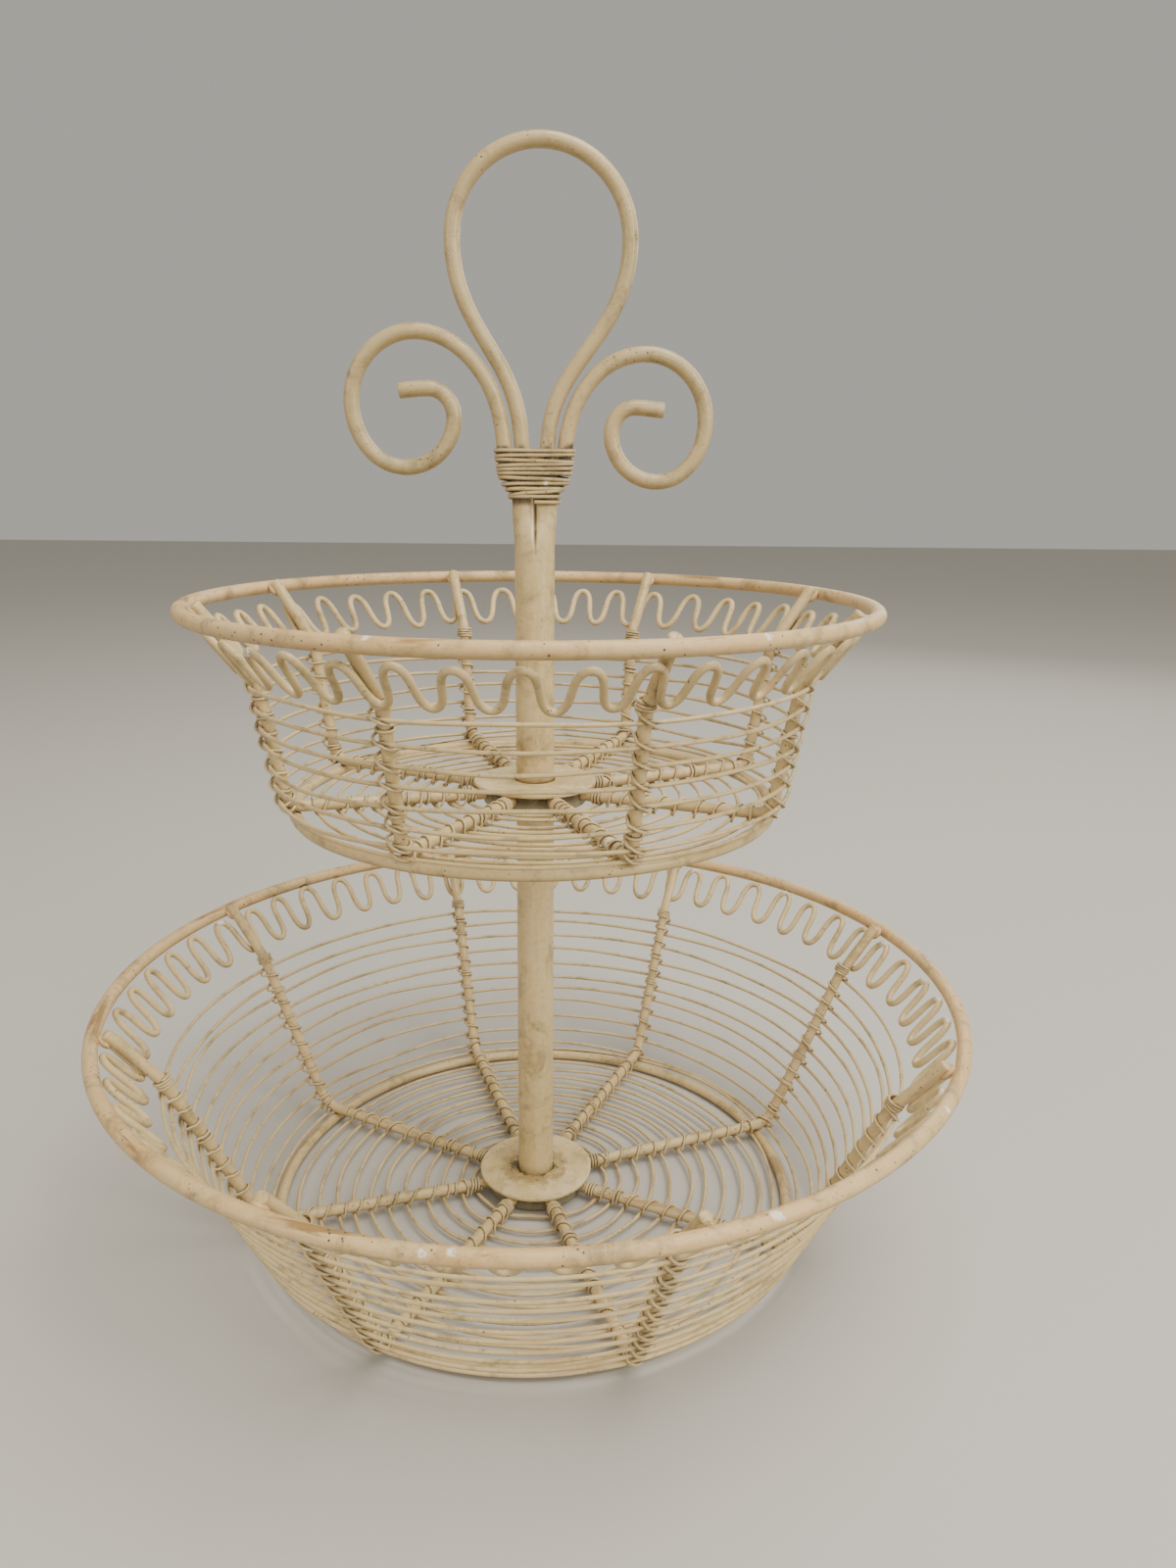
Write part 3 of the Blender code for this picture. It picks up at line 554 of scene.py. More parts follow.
def wave_line(basket):
    """The serpentine between the kinks and the rim, bent by hand and so a little uneven."""
    kink, tip = rib_corners(basket)[2:]
    along = unit(tip - kink)
    outwards = np.array((along[1], -along[0]))
    low = kink + outwards * (RIB_ROD / 2 + WAVE_PLAY + WAVE_ROD / 2)
    rim = np.array((basket.rim_radius, basket.rim_height))
    foot = (rim - low) @ along
    miss = norm(rim - low - along * foot)
    clear = RIM_ROD / 2 + GAP + WAVE_ROD / 2
    crest = foot - math.sqrt(clear**2 - miss**2) - basket.wave_headroom
    middle, swing = (crest + basket.wave_foot) / 2, (crest - basket.wave_foot) / 2
    waves = RIBS * basket.waves_per_bay
    count = waves * WAVE_SAMPLES
    phase = math.tau * np.arange(count) / WAVE_SAMPLES
    drift = wander(count, WAVE_DRIFT, 3 * basket.waves_per_bay)
    uneven = 1 + wander(count, WAVE_SWING_PLAY, waves // 2)
    height = middle + swing * np.cos(phase) * uneven
    height += wander(count, WAVE_HEIGHT_PLAY, waves // 2)
    height = np.minimum(height, crest + WAVE_OVERSHOOT)
    proud = np.abs(wander(count, WAVE_PROUD, waves // 3))
    first_crest = rib_azimuth(0) + math.tau * basket.wave_turn / waves
    azimuth = first_crest + (phase + basket.wave_neck * np.sin(2 * phase) + drift) / waves
    flat = low + along * height[:, None] + outwards * proud[:, None]
    return at_azimuth(flat, azimuth)


def wall_run(basket):
    """The wall wire's way up the ribs' outer side: (place at a distance, its whole length)."""
    reach = basket.bend_corner + (RIB_ROD + THIN_WIRE) / 2
    centre, end = bend_centre(basket), wall_lean(basket)
    to_ring = np.array((basket.base_radius, BASE_ROD / 2)) - centre
    clear = BASE_ROD / 2 + THIN_WIRE / 2 + WALL_PLAY
    distance = norm(to_ring)
    opening = math.acos((reach**2 + distance**2 - clear**2) / (2 * reach * distance))
    start = math.atan2(to_ring[0], -to_ring[1]) + opening
    bend, kink = rib_corners(basket)[1:3]
    setback = basket.bend_corner * math.tan(end / 2)
    climb = norm(kink - bend) - setback - WALL_END + reach * (end - start)

    def place(travelled):
        lean = min(start + travelled / reach, end)
        left = travelled - reach * (lean - start)
        out = np.array((math.sin(lean), -math.cos(lean)))
        along = np.array((math.cos(lean), math.sin(lean)))
        return centre + reach * out + left * along, out, along

    return place, climb


def floor_run(basket):
    """The floor wire's way outwards under the ribs."""
    first = COLLAR_OUTER / 2 + FLOOR_START
    last = basket.base_radius - BASE_ROD / 2 - GAP - THIN_WIRE
    slope = (floor_height(last, basket) - floor_height(first, basket)) / (last - first)
    along = unit(np.array((1.0, slope)))
    out = np.array((along[1], -along[0]))

    def place(travelled):
        radius = first + travelled
        middle = np.array((radius, floor_height(radius, basket)))
        return middle + out * (RIB_ROD + THIN_WIRE) / 2, out, along

    return place, last - first


def crossings(run, turns, level_turns):
    """How far along its run the wire is at each rib that it crosses, turn after turn."""
    before = WALL_LEVEL_RISE * level_turns
    level, steps = level_turns * RIBS, (turns - level_turns) * RIBS
    found = [WALL_LEVEL_RISE * k / RIBS for k in range(level)]
    for k in range(steps + 1):
        jitter = np.clip(rng.normal(), -MOST_JITTER, MOST_JITTER) * CROSSING_JITTER
        found.append(before + (run[1] - before) * k / steps + jitter)
    return found


def wound_wire(run, stops):
    """One unbroken wire from rib to rib, on the ribs' outer side."""
    points = []
    for k, (start, end) in enumerate(zip(stops, stops[1:])):
        sag = rng.normal() * BAY_SAG
        for i in range(BAY_POINTS):
            share = i / BAY_POINTS
            spot, _, along = run[0](start + (end - start) * share)
            spot = spot + along * sag * math.sin(math.pi * share) ** 2
            points.append(at_azimuth(spot, rib_azimuth(k + share))[0])
    points.append(at_azimuth(run[0](stops[-1])[0], rib_azimuth(len(stops) - 1))[0])
    return np.array(points)


def on_rib(run, azimuth, travelled, angle, reach):
    """A point beside a rib: a way along it, an angle from its outer side and a distance."""
    spot, out, along = run[0](travelled)
    centre = spot - out * (RIB_ROD + THIN_WIRE) / 2
    flat = centre + out * reach * math.cos(angle)
    return at_azimuth(flat, azimuth)[0] + sideways(azimuth) * reach * math.sin(angle)


def tie_wire(run, azimuth, stops, turns, limits, ties):
    """The thin wire that ties one rib to every wire it crosses.

    At each crossing it runs aslant over the wire on the rib's outer side, standing off the
    rib at both sides. It goes on to the next one round the inner side, at times with an
    extra turn. Close turns start and end it.
    """
    hug = (RIB_ROD + ties.wire) / 2
    over = RIB_ROD / 2 + THIN_WIRE + ties.wire / 2
    first_turns, last_turns = turns
    lowest, highest = limits
    points = []

    def put(travelled, angle, reach):
        travelled = min(max(travelled, lowest), highest)
        points.append(on_rib(run, azimuth, travelled, angle, reach))

    def close_turns(start, end, turns, loose=0.0):
        count = int(turns * TIE_POINTS)
        for i in range(count):
            share = i / count
            stand = hug + loose * (1 + math.sin(LOOSE_BEAT * math.tau * turns * share))
            put(start + (end - start) * share, side - math.tau * turns * share, stand)

    stops = [max(stops[0], lowest + first_turns * TIE_PITCH + ties.span)] + stops[1:]
    side = math.pi / 2
    close_turns(stops[0] - ties.span - TIE_PITCH * first_turns, stops[0] - ties.span, first_turns)
    for k, stop in enumerate(stops):
        ear = ties.ear + rng.normal() * TIE_SLACK
        span = ties.span * rng.uniform(*TIE_SPAN_SHARES)
        for i in range(TIE_POINTS // 2):
            share = 2 * i / TIE_POINTS
            across = math.copysign(abs(math.cos(math.pi * share)) ** SIDE_POWER, 0.5 - share)
            across *= hug + ear * hump(abs(2 * share - 1), *EAR)
            out = over * math.sin(math.pi * share) ** OVER_POWER
            put(stop + span * (2 * share - 1), math.atan2(across, out), math.hypot(across, out))
        side = -math.pi / 2
        if k + 1 < len(stops):
            ahead = stops[k + 1] - ties.span
            close_turns(stop + span, ahead, HALF_TURN + (rng.uniform() < ties.doubled))
    top = stops[-1] + ties.span
    close_turns(top, top + TIE_PITCH * last_turns, last_turns + HALF_TURN, END_LOOSENESS)
    return np.array(points)


def ring_line(radius, height, wobble=0.0):
    azimuth = math.tau * np.arange(RING_POINTS) / RING_POINTS
    strays = [wander(RING_POINTS, wobble, RING_KNOTS) for _ in range(2)]
    return at_azimuth(np.stack([radius + strays[0], height + strays[1]], 1), azimuth)


def dress_basket(basket, looks):
    tier, body = basket.tier, f"{basket.tier}_basket"
    near = []
    lines = {}

    def keep(owner, points, rod, closed=False):
        points = lifted(points, basket)
        near.append((owner, densify(points, closed=closed), rod / 2))
        lines.setdefault(owner, []).append((points, rod, closed))

    keep("rim", ring_line(basket.rim_radius, basket.rim_height, RIM_WOBBLE), RIM_ROD, True)
    keep("base", ring_line(basket.base_radius, BASE_ROD / 2), BASE_ROD, True)
    profile = rounded(rib_corners(basket), (basket.bend_corner, KINK_CORNER))
    for index in range(RIBS):
        keep("ribs", at_azimuth(profile, rib_azimuth(index)), RIB_ROD)
    keep("wave", wave_line(basket), WAVE_ROD, True)
    wall, floor = wall_run(basket), floor_run(basket)
    up_wall = crossings(wall, basket.wall_turns, 1)
    out_floor = crossings(floor, basket.floor_turns, 0)
    keep("wall", wound_wire(wall, up_wall), THIN_WIRE)
    keep("floor", wound_wire(floor, out_floor), THIN_WIRE)
    for index in range(RIBS):
        azimuth = rib_azimuth(index)
        for run, stops, turns, limits, ties in (
            (wall, up_wall, (0, TIE_TURNS), (0, math.inf), WALL_TIES),
            (floor, out_floor, (HUB_FAN, 0), (FAN_START, floor[1]), FLOOR_TIES),
        ):
            tied = tie_wire(run, azimuth, stops[index::RIBS], turns, limits, ties)
            keep("ties", tied, ties.wire)
    crests = lines["wave"][0][0][::WAVE_SAMPLES]
    worn = crests[rng.uniform(size=len(crests)) < WORN_CRESTS[tier]]
    for owner, (look, slot, sides, reach, nodes) in WIRES.items():
        shape = Shape()
        for points, rod, closed in lines[owner]:
            shape.tube(points, rod, sides, closed)
        if owner == "rim":
            add_welds(shape, basket)
        if owner == "ribs":
            grind(shape.verts, basket)
        shading_and_marks = corner_shade_and_dirt(near, owner, np.concatenate(shape.verts), reach)
        if owner == "rim":
            welds = RIBS * ((BLOB_ROWS - 1) * BLOB_COLUMNS + 2)
            flecked = rng.uniform(size=welds) < WELD_FLECKS
            shading_and_marks[-welds:] = np.where(flecked, FLECK_MARK, WELD_DIRT)
            rub_off(shading_and_marks[:-welds], shape.verts[0], rim_chips(basket), CHIP_REACH)
        if owner == "ribs" and basket is UPPER:
            scar(shading_and_marks, shape.verts, basket)
        if owner == "wave":
            rub_off(shading_and_marks, shape.verts[0], worn, WORN_REACH)
        nodes = [f"{tier}_{node}" for node in nodes]
        make_piece(f"{tier}_{owner}", shape, body, looks[look], nodes, shading_and_marks)
    dress_hub(basket, body, looks)


def rub_off(shading_and_marks, verts, places, reach):
    """Marks the vertices near the places as worn through to the primer, most at their middle."""
    away = norm(verts[:, None] - places[None], axis=2).min(1)
    shading_and_marks[:] = np.where(away < reach, RUB_EDGE * away / reach - 1, shading_and_marks)


def grind(rods, basket):
    """Takes the ribs' ends down to a flat just above the rim."""
    top = basket.height + basket.rim_height + GROUND_AT[basket.tier]
    for verts in rods:
        verts[:, 2] = np.minimum(verts[:, 2], top)


def scar(shading_and_marks, verts, basket):
    """Marks a spot on a spoke's upper side where the paint is chipped and the steel has rusted."""
    azimuth = rib_azimuth(SCARRED_RIB)
    out = math.sin(SCAR_LEAN) * UP - math.cos(SCAR_LEAN) * sideways(azimuth)
    bend = basket.base_radius + basket.bend_outset
    for inset, reach, mark in SCARS:
        spot = np.array((bend - inset, floor_height(bend - inset, basket)))
        place = lifted(at_azimuth(spot, azimuth) + out * RIB_ROD / 2, basket)[0]
        shading_and_marks[norm(np.concatenate(verts) - place, axis=1) < reach] = mark


def rim_chips(basket):
    """Where the chips of the rim lie on its surface."""
    bearing, lean = np.radians(np.array(RIM_CHIPS[basket.tier])).T
    radius = basket.rim_radius + RIM_ROD / 2 * np.cos(lean)
    height = basket.height + basket.rim_height + RIM_ROD / 2 * np.sin(lean)
    return at_azimuth(np.stack([radius, height], axis=1), bearing)


def add_welds(shape, basket):
    """A lump of weld that carries each rib's tip onto the rim, painted over."""
    kink, tip = rib_corners(basket)[2:]
    along = unit(tip - kink)
    rim = np.array((basket.rim_radius, basket.rim_height))
    spot = tip - along * WELD_SETBACK + (rim - tip) * WELD_SINK_SHARE
    for index in range(RIBS):
        azimuth = rib_azimuth(index) + basket.turn
        length, side = at_azimuth(along, azimuth)[0], sideways(azimuth)
        centre = at_azimuth(spot, azimuth)[0] + basket.height * UP
        shape.add(*blob(centre, (length, side, np.cross(length, side)), WELD_SIZE))


def sleeve(inner, outer, bottom, top, edge, rows, steps):
    """A plate or sleeve round the post's axis: rounded edges, and rows along its long runs."""
    left, right, low, high = inner + edge, outer - edge, bottom + edge, top - edge
    outline, profile = [], []
    for n, (x, z) in enumerate(((left, low), (right, low), (right, high), (left, high))):
        for i in range(EDGE_POINTS):
            angle = math.pi * (1 + n / 2) + math.pi / 2 * i / (EDGE_POINTS - 1)
            outline.append((x + edge * math.cos(angle), z + edge * math.sin(angle)))
    for a, b in zip(outline, outline[1:] + outline[:1]):
        profile.append(a)
        if math.dist(a, b) > LONG_RUN:
            profile += list(np.linspace(a, b, rows + 1)[1:-1])
    shape = Shape()
    shape.add(*turned(profile, steps))
    return shape, shape.verts[0]


def dress_hub(basket, body, looks):
    tier, foot = basket.tier, basket.height
    hole, wall = TUBE_OUTER / 2 + HOLE_PLAY, COLLAR_OUTER / 2
    bottom, top = foot + DISC_BOTTOM, foot + DISC_TOP
    disc, verts = sleeve(hole, HUB_DISC / 2, bottom, top, HUB_EDGE, DISC_ROWS, HUB_STEPS)
    radius = np.hypot(verts[:, 0], verts[:, 1])
    bearing = np.arctan2(verts[:, 1], verts[:, 0])
    verts[:, 2] += DISC_WARP * np.sin(2 * bearing + WARP_TURN) * (radius / (HUB_DISC / 2)) ** 2
    worn = WORN_RING_LEAST + (1 - WORN_RING_LEAST) * np.abs(np.cos(bearing))
    worn *= fading(radius - TUBE_OUTER / 2, WORN_RING)
    if basket is UPPER:
        worn *= UPPER_WORN_SHARE
    make_piece(f"{tier}_disc", disc, body, looks["hub"], [f"{tier}_hub_disc"], worn)
    bottom, top = foot + HUB_STANDOFF, foot + COLLAR_TOP
    collar, verts = sleeve(wall - COLLAR_WALL, wall, bottom, top, HUB_EDGE, COLLAR_ROWS, HUB_STEPS)
    # Painted shade, darker towards the collar's top in the hollow under the disc
    shade = np.clip(COLLAR_SHADE * (verts[:, 2] - bottom) / COLLAR_HEIGHT - COLLAR_UNSHADED, 0, 1)
    nodes = [f"{tier}_hub_collar"]
    make_piece(f"{tier}_collar", collar, body, looks["collar"], nodes, shade)


def crimped(pinch, groove, inset):
    """The tube's outline, from round to two lobes round the handle's legs, a crease between.

    The points stand closer together at the front and the back, where the crease is.
    """
    round_radius = TUBE_OUTER / 2 - inset
    lobe = HANDLE_ROD / 2 + LEG_PLAY + TUBE_WALL - inset
    even = math.tau * np.arange(CRIMP_STEPS) / CRIMP_STEPS
    angle = even + POINT_CROWDING * np.sin(2 * even)
    x = (LEG_OFFSET + lobe) * np.cos(angle)
    past = np.maximum(np.abs(x) - LEG_OFFSET, 0)
    y = np.copysign(np.sqrt(np.maximum(lobe**2 - past**2, 0)), np.sin(angle))
    y[:: CRIMP_STEPS // 2] = 0
    x = x * pinch + round_radius * np.cos(angle) * (1 - pinch)
    y = y * pinch + round_radius * np.sin(angle) * (1 - pinch)
    width = CREASE_WIDTH + CREASE_WIDENING * groove
    dent = CREASE_DEPTH * groove**CREASE_ONSET * np.exp(-((np.abs(x) / width) ** CREASE_SIDES))
    return np.stack([x, y - np.copysign(np.minimum(dent, np.abs(y) * MOST_DENT), y)], axis=1)


def dress_post(looks):
    """The two tubes. The upper one is pinched round the handle's legs at its top."""
    look = looks["post"]
    lower_end, upper_end = COLLAR_TOP + GAP, UPPER.height + COLLAR_TOP - HUB_SHEET - GAP
    inner, outer = TUBE_OUTER / 2 - TUBE_WALL, TUBE_OUTER / 2
    shape, verts = sleeve(inner, outer, lower_end, upper_end, TUBE_EDGE, TUBE_ROWS, TUBE_STEPS)
    # Painted shade and grime by the lower disc and where the tube goes into the upper hub
    foot = fading(verts[:, 2] - DISC_TOP, *LOWER_FOOT_SHADE_AND_DIRT)
    neck = fading(upper_end - verts[:, 2], *LOWER_NECK_SHADE_AND_DIRT)
    shading_and_marks = np.maximum(foot, neck)
    make_piece("lower_post", shape, "column", look, ["lower_tube"], shading_and_marks)

    plain = np.linspace(UPPER.height + COLLAR_TOP + GAP, CRIMP_START, PLAIN_ROWS)
    levels = np.concatenate([plain, np.linspace(CRIMP_START, TUBE_TOP, CRIMP_ROWS)[1:]])
    rings = []
    for inset in (0.0, TUBE_WALL):
        for height in levels if not inset else levels[::-1]:
            pinch = smooth_step(rising(height, CRIMP_START, CRIMP_FULL))
            groove = rising(height, CREASE_START, CRIMP_FULL)
            flat = crimped(pinch, groove, inset)
            rings.append(np.column_stack([flat, np.full(len(flat), height)]))
    verts = np.concatenate(rings)
    shape = Shape()
    shape.add(verts, bands(len(rings), CRIMP_STEPS, True, False))
    # Painted shade and grime by the upper disc
    foot = fading(verts[:, 2] - UPPER.height - DISC_TOP, *UPPER_FOOT_SHADE_AND_DIRT)
    # A painted highlight along the crease's left edge at the front, marked like primer, and a
    # painted shadow in the crease
    wear_and_highlight = CREASE_HIGHLIGHT_SHARE * hump(verts[:, 0], *CREASE_HIGHLIGHT_LINE) * (verts[:, 1] < 0)
    crease = rising(verts[:, 2], CREASE_START, CREASE_FULL)
    crease *= hump(verts[:, 0], *CREASE_SHADOW_LINE) - wear_and_highlight
    # Painted shade and grime where the binding wraps the tube's top
    wrapped = WRAPPED_SHADE_AND_DIRT * rising(verts[:, 2], *WRAPPED)
    shading_and_marks = np.where(crease < CREASE_HIGHLIGHT_FROM, crease, np.maximum(np.maximum(foot, crease), wrapped))
    make_piece("upper_post", shape, "column", look, ["upper_tube"], shading_and_marks)


def bezier(start, start_pull, end_pull, end, steps):
    t = (np.arange(1, steps + 1) / steps)[:, None]
    return list(
        start * (1 - t) ** 3 + start_pull * 3 * t * (1 - t) ** 2
        + end_pull * 3 * t**2 * (1 - t) + end * t**3
    )


def quarter(start, end, upright_first, steps):
    """A quarter of an ellipse between a place where the rod is upright and one where it is level."""
    angle = math.pi / 2 * np.arange(1, steps + 1) / steps
    early, late = np.sin(angle), 1 - np.cos(angle)
    across, up = (late, early) if upright_first else (early, late)
    return list(start + np.column_stack([across, 0 * angle, up]) * (end - start))


def eased(points, passes):
    """Evens out the curvature where one arc meets the next, and leaves the ends."""
    points = densify(points, EASED_STEP)
    for _ in range(passes):
        points[1:-1] = (points[:-2] + 2 * points[1:-1] + points[2:]) / 4
    return points


def side_of_loop(side, reach, fork_pull, side_pull):
    foot = np.array((side * LEG_OFFSET, 0, LEG_BOTTOM))
    mouth = np.array((side * LEG_OFFSET, 0, LEG_STRAIGHT_TOP))
    fork = np.array((side * LOOP_FORK_OFFSET, 0, LOOP_FORK))
    widest = np.array((side * reach, 0, LOOP_SIDE_HEIGHT))
    curve = bezier(fork, fork + UP * fork_pull, widest - UP * side_pull, widest, SIDE_STEPS)
    return [foot, mouth, fork] + curve


def scroll_line(side, reach, top, depth):
    points = [
        np.array((side * STEM_FOOT_OFFSET, 0, STEM_BOTTOM)),
        np.array((side * STEM_OFFSET, 0, BINDING_TOP)),
    ]
    upright = True
    for reach_share, depth_share in SCROLL_SHARES:
        x = STEM_OFFSET + (reach - STEM_OFFSET) * reach_share
        place = np.array((side * x, 0, top - depth * (1 - depth_share)))
        points += quarter(points[-1], place, upright, SCROLL_STEPS)
        upright = not upright
    points.append(points[-1] + np.array((side * SCROLL_END_LENGTH, 0, -SCROLL_END_DROP)))
    return eased(points, SCROLL_PASSES)


def binding_line():
    """The thin wire wound round the tube's top, the loop's legs and the scrolls' stems.

    It starts at the front's middle, runs to the right and ends in a cut end at the right.
    """
    heights, widths = np.array(BINDING_OUTLINE).T / 1000
    leans = rng.normal(size=BINDING_TURNS + 2) * BINDING_LEAN
    shifts = rng.normal(size=BINDING_TURNS + 2) * BINDING_SHIFT
    leans[0], shifts[0] = FIRST_LEAN, FIRST_SHIFT
    turns = np.arange(BINDING_TURNS * BINDING_POINTS + BINDING_POINTS // 4) / BINDING_POINTS
    angle = math.tau * turns
    whole = turns.astype(int)
    share = smooth_step(turns - whole)
    lean, shift = (kept[whole] * (1 - share) + kept[whole + 1] * share for kept in (leans, shifts))
    height = BINDING_FOOT + BINDING_PITCH * turns + lean * np.sin(angle) + shift
    width = np.interp(height, heights, widths) - BINDING_WIRE / 2
    in_tube = 1 - smooth_step(rising(height, *TUBE_LEFT))
    depth = (HANDLE_ROD + BINDING_WIRE) / 2 + (LEG_PLAY + TUBE_WALL) * in_tube + BINDING_PLAY
    x = np.copysign(np.abs(np.sin(angle)) ** BINDING_SQUARENESS, np.sin(angle)) * width
    over = np.maximum(np.abs(x) - (width - depth), 0) / depth
    y = -np.copysign(np.sqrt(np.maximum(1 - over**2, 0)), np.cos(angle)) * depth
    return eased(np.stack([x, y, height], axis=1), BINDING_PASSES)


def groove_shade_and_dirt(shape, sides, radius):
    """Painted shade and grime on a wound wire's upper and lower sides, where its turns lie on each
    other.
    """
    height = shape.verts[0][:-2, 2].reshape(-1, sides)
    height = np.abs(height - height.mean(1, keepdims=True)) / radius
    return np.append(rising(height.ravel(), *GROOVE), (0, 0))


def dress_handle(looks):
    near = []
    left, right = side_of_loop(-1, *LEFT_SIDE), side_of_loop(1, *RIGHT_SIDE)
    top = np.array((LOOP_TOP_OFFSET, 0, LOOP_TOP))
    over = quarter(left[-1], top, True, TOP_STEPS) + quarter(top, right[-1], False, TOP_STEPS)
    lines = {
        "loop": (eased(left + over + right[-2::-1], LOOP_PASSES), "handle_loop", HANDLE_FINISH),
        "left_scroll": (scroll_line(-1, *LEFT_SCROLL), "scroll_left", HANDLE_FINISH),
        "right_scroll": (scroll_line(1, *RIGHT_SCROLL), "scroll_right", HANDLE_FINISH),
        "binding": (binding_line(), "binding_wire", BINDING_FINISH),
    }
    for owner, (points, _, finish) in lines.items():
        near.append((owner, densify(points), finish[0] / 2))
    for owner, (points, node, (rod, look, slot, sides)) in lines.items():
        shape = Shape()
        shape.tube(points, rod, sides, blunt=HANDLE_BLUNT)
        shading_and_marks = corner_shade_and_dirt(near, owner, shape.verts[0], HANDLE_SHADE_AND_DIRT_REACH)
        if owner == "binding":
            shading_and_marks = np.maximum(shading_and_marks * BINDING_SHADE_AND_DIRT_SHARE, groove_shade_and_dirt(shape, sides, rod / 2))
            rub_off(shading_and_marks, shape.verts[0], np.array(BINDING_CHIPS), BINDING_CHIP_REACH)
        make_piece(owner, shape, "column", looks[look], [node], shading_and_marks)


class Tree:
    """Short ways to add nodes to a material."""

    def __init__(self, name):
        self.material = bpy.data.materials.new(name)
        self.material.use_nodes = True
        self.nodes = self.material.node_tree.nodes
        self.links = self.material.node_tree.links
        self.shader = self.nodes["Principled BSDF"]
        self.place = self.nodes.new("ShaderNodeTexCoord").outputs["Object"]

    def feed(self, node, inputs):
        """Links each input to another node's output, or sets it to a value."""
        for name, value in inputs.items():
            if isinstance(value, bpy.types.NodeSocket):
                self.links.new(value, node.inputs[name])
            else:
                node.inputs[name].default_value = value

    def noise(self, scale, detail=3.0, roughness=0.55, distortion=0.0, place=None):
        node = self.nodes.new("ShaderNodeTexNoise")
        self.feed(node, {"Vector": place or self.place, "Scale": scale, "Detail": detail})
        self.feed(node, {"Roughness": roughness, "Distortion": distortion})
        return node.outputs["Fac"]

    def lengthwise(self):
        """Coordinates that change slowly along a rod and quickly round it."""
        node = self.nodes.new("ShaderNodeVectorMath")
        node.operation = "MULTIPLY_ADD"
        self.feed(node, {0: self.place, 1: STRETCH, 2: self.attribute("section", "Vector")})
        return node.outputs["Vector"]

    def upwards(self, low, high):
        """How far the surface faces up, from 0 to 1 between two values of its normal's height."""
        split = self.nodes.new("ShaderNodeSeparateXYZ")
        self.feed(split, {"Vector": self.nodes.new("ShaderNodeNewGeometry").outputs["Normal"]})
        return self.ramp(split.outputs["Z"], low, high)

    def cells(self, scale):
        node = self.nodes.new("ShaderNodeTexVoronoi")
        self.feed(node, {"Vector": self.place, "Scale": scale})
        return node.outputs["Distance"]

    def ramp(self, value, low, high, start=0.0, end=1.0):
        node = self.nodes.new("ShaderNodeMapRange")
        node.interpolation_type = "SMOOTHSTEP"
        self.feed(node, {"Value": value, "From Min": low, "From Max": high})
        self.feed(node, {"To Min": start, "To Max": end})
        return node.outputs["Result"]

    def combine(self, operation, a, b):
        node = self.nodes.new("ShaderNodeMath")
        node.operation = operation
        node.use_clamp = True
        self.feed(node, {0: a, 1: b})
        return node.outputs[0]

    def times(self, a, b):
        return self.combine("MULTIPLY", a, b)

    def mix(self, share, a, b):
        node = self.nodes.new("ShaderNodeMix")
        node.data_type = "RGBA"
        self.feed(node, {"Factor": share, "A": a, "B": b})
        return node.outputs["Result"]

    def attribute(self, name, output="Fac"):
        node = self.nodes.new("ShaderNodeAttribute")
        node.attribute_name = name
        return node.outputs[output]

    def bump(self, height, distance, strength, normal=None):
        node = self.nodes.new("ShaderNodeBump")
        self.feed(node, {"Height": height, "Distance": distance, "Strength": strength})
        if normal:
            self.feed(node, {"Normal": normal})
        return node.outputs["Normal"]

    def finish(self, colour, roughness, normal):
        self.feed(self.shader, {"Base Color": colour, "Roughness": roughness, "Normal": normal})
        return self.material


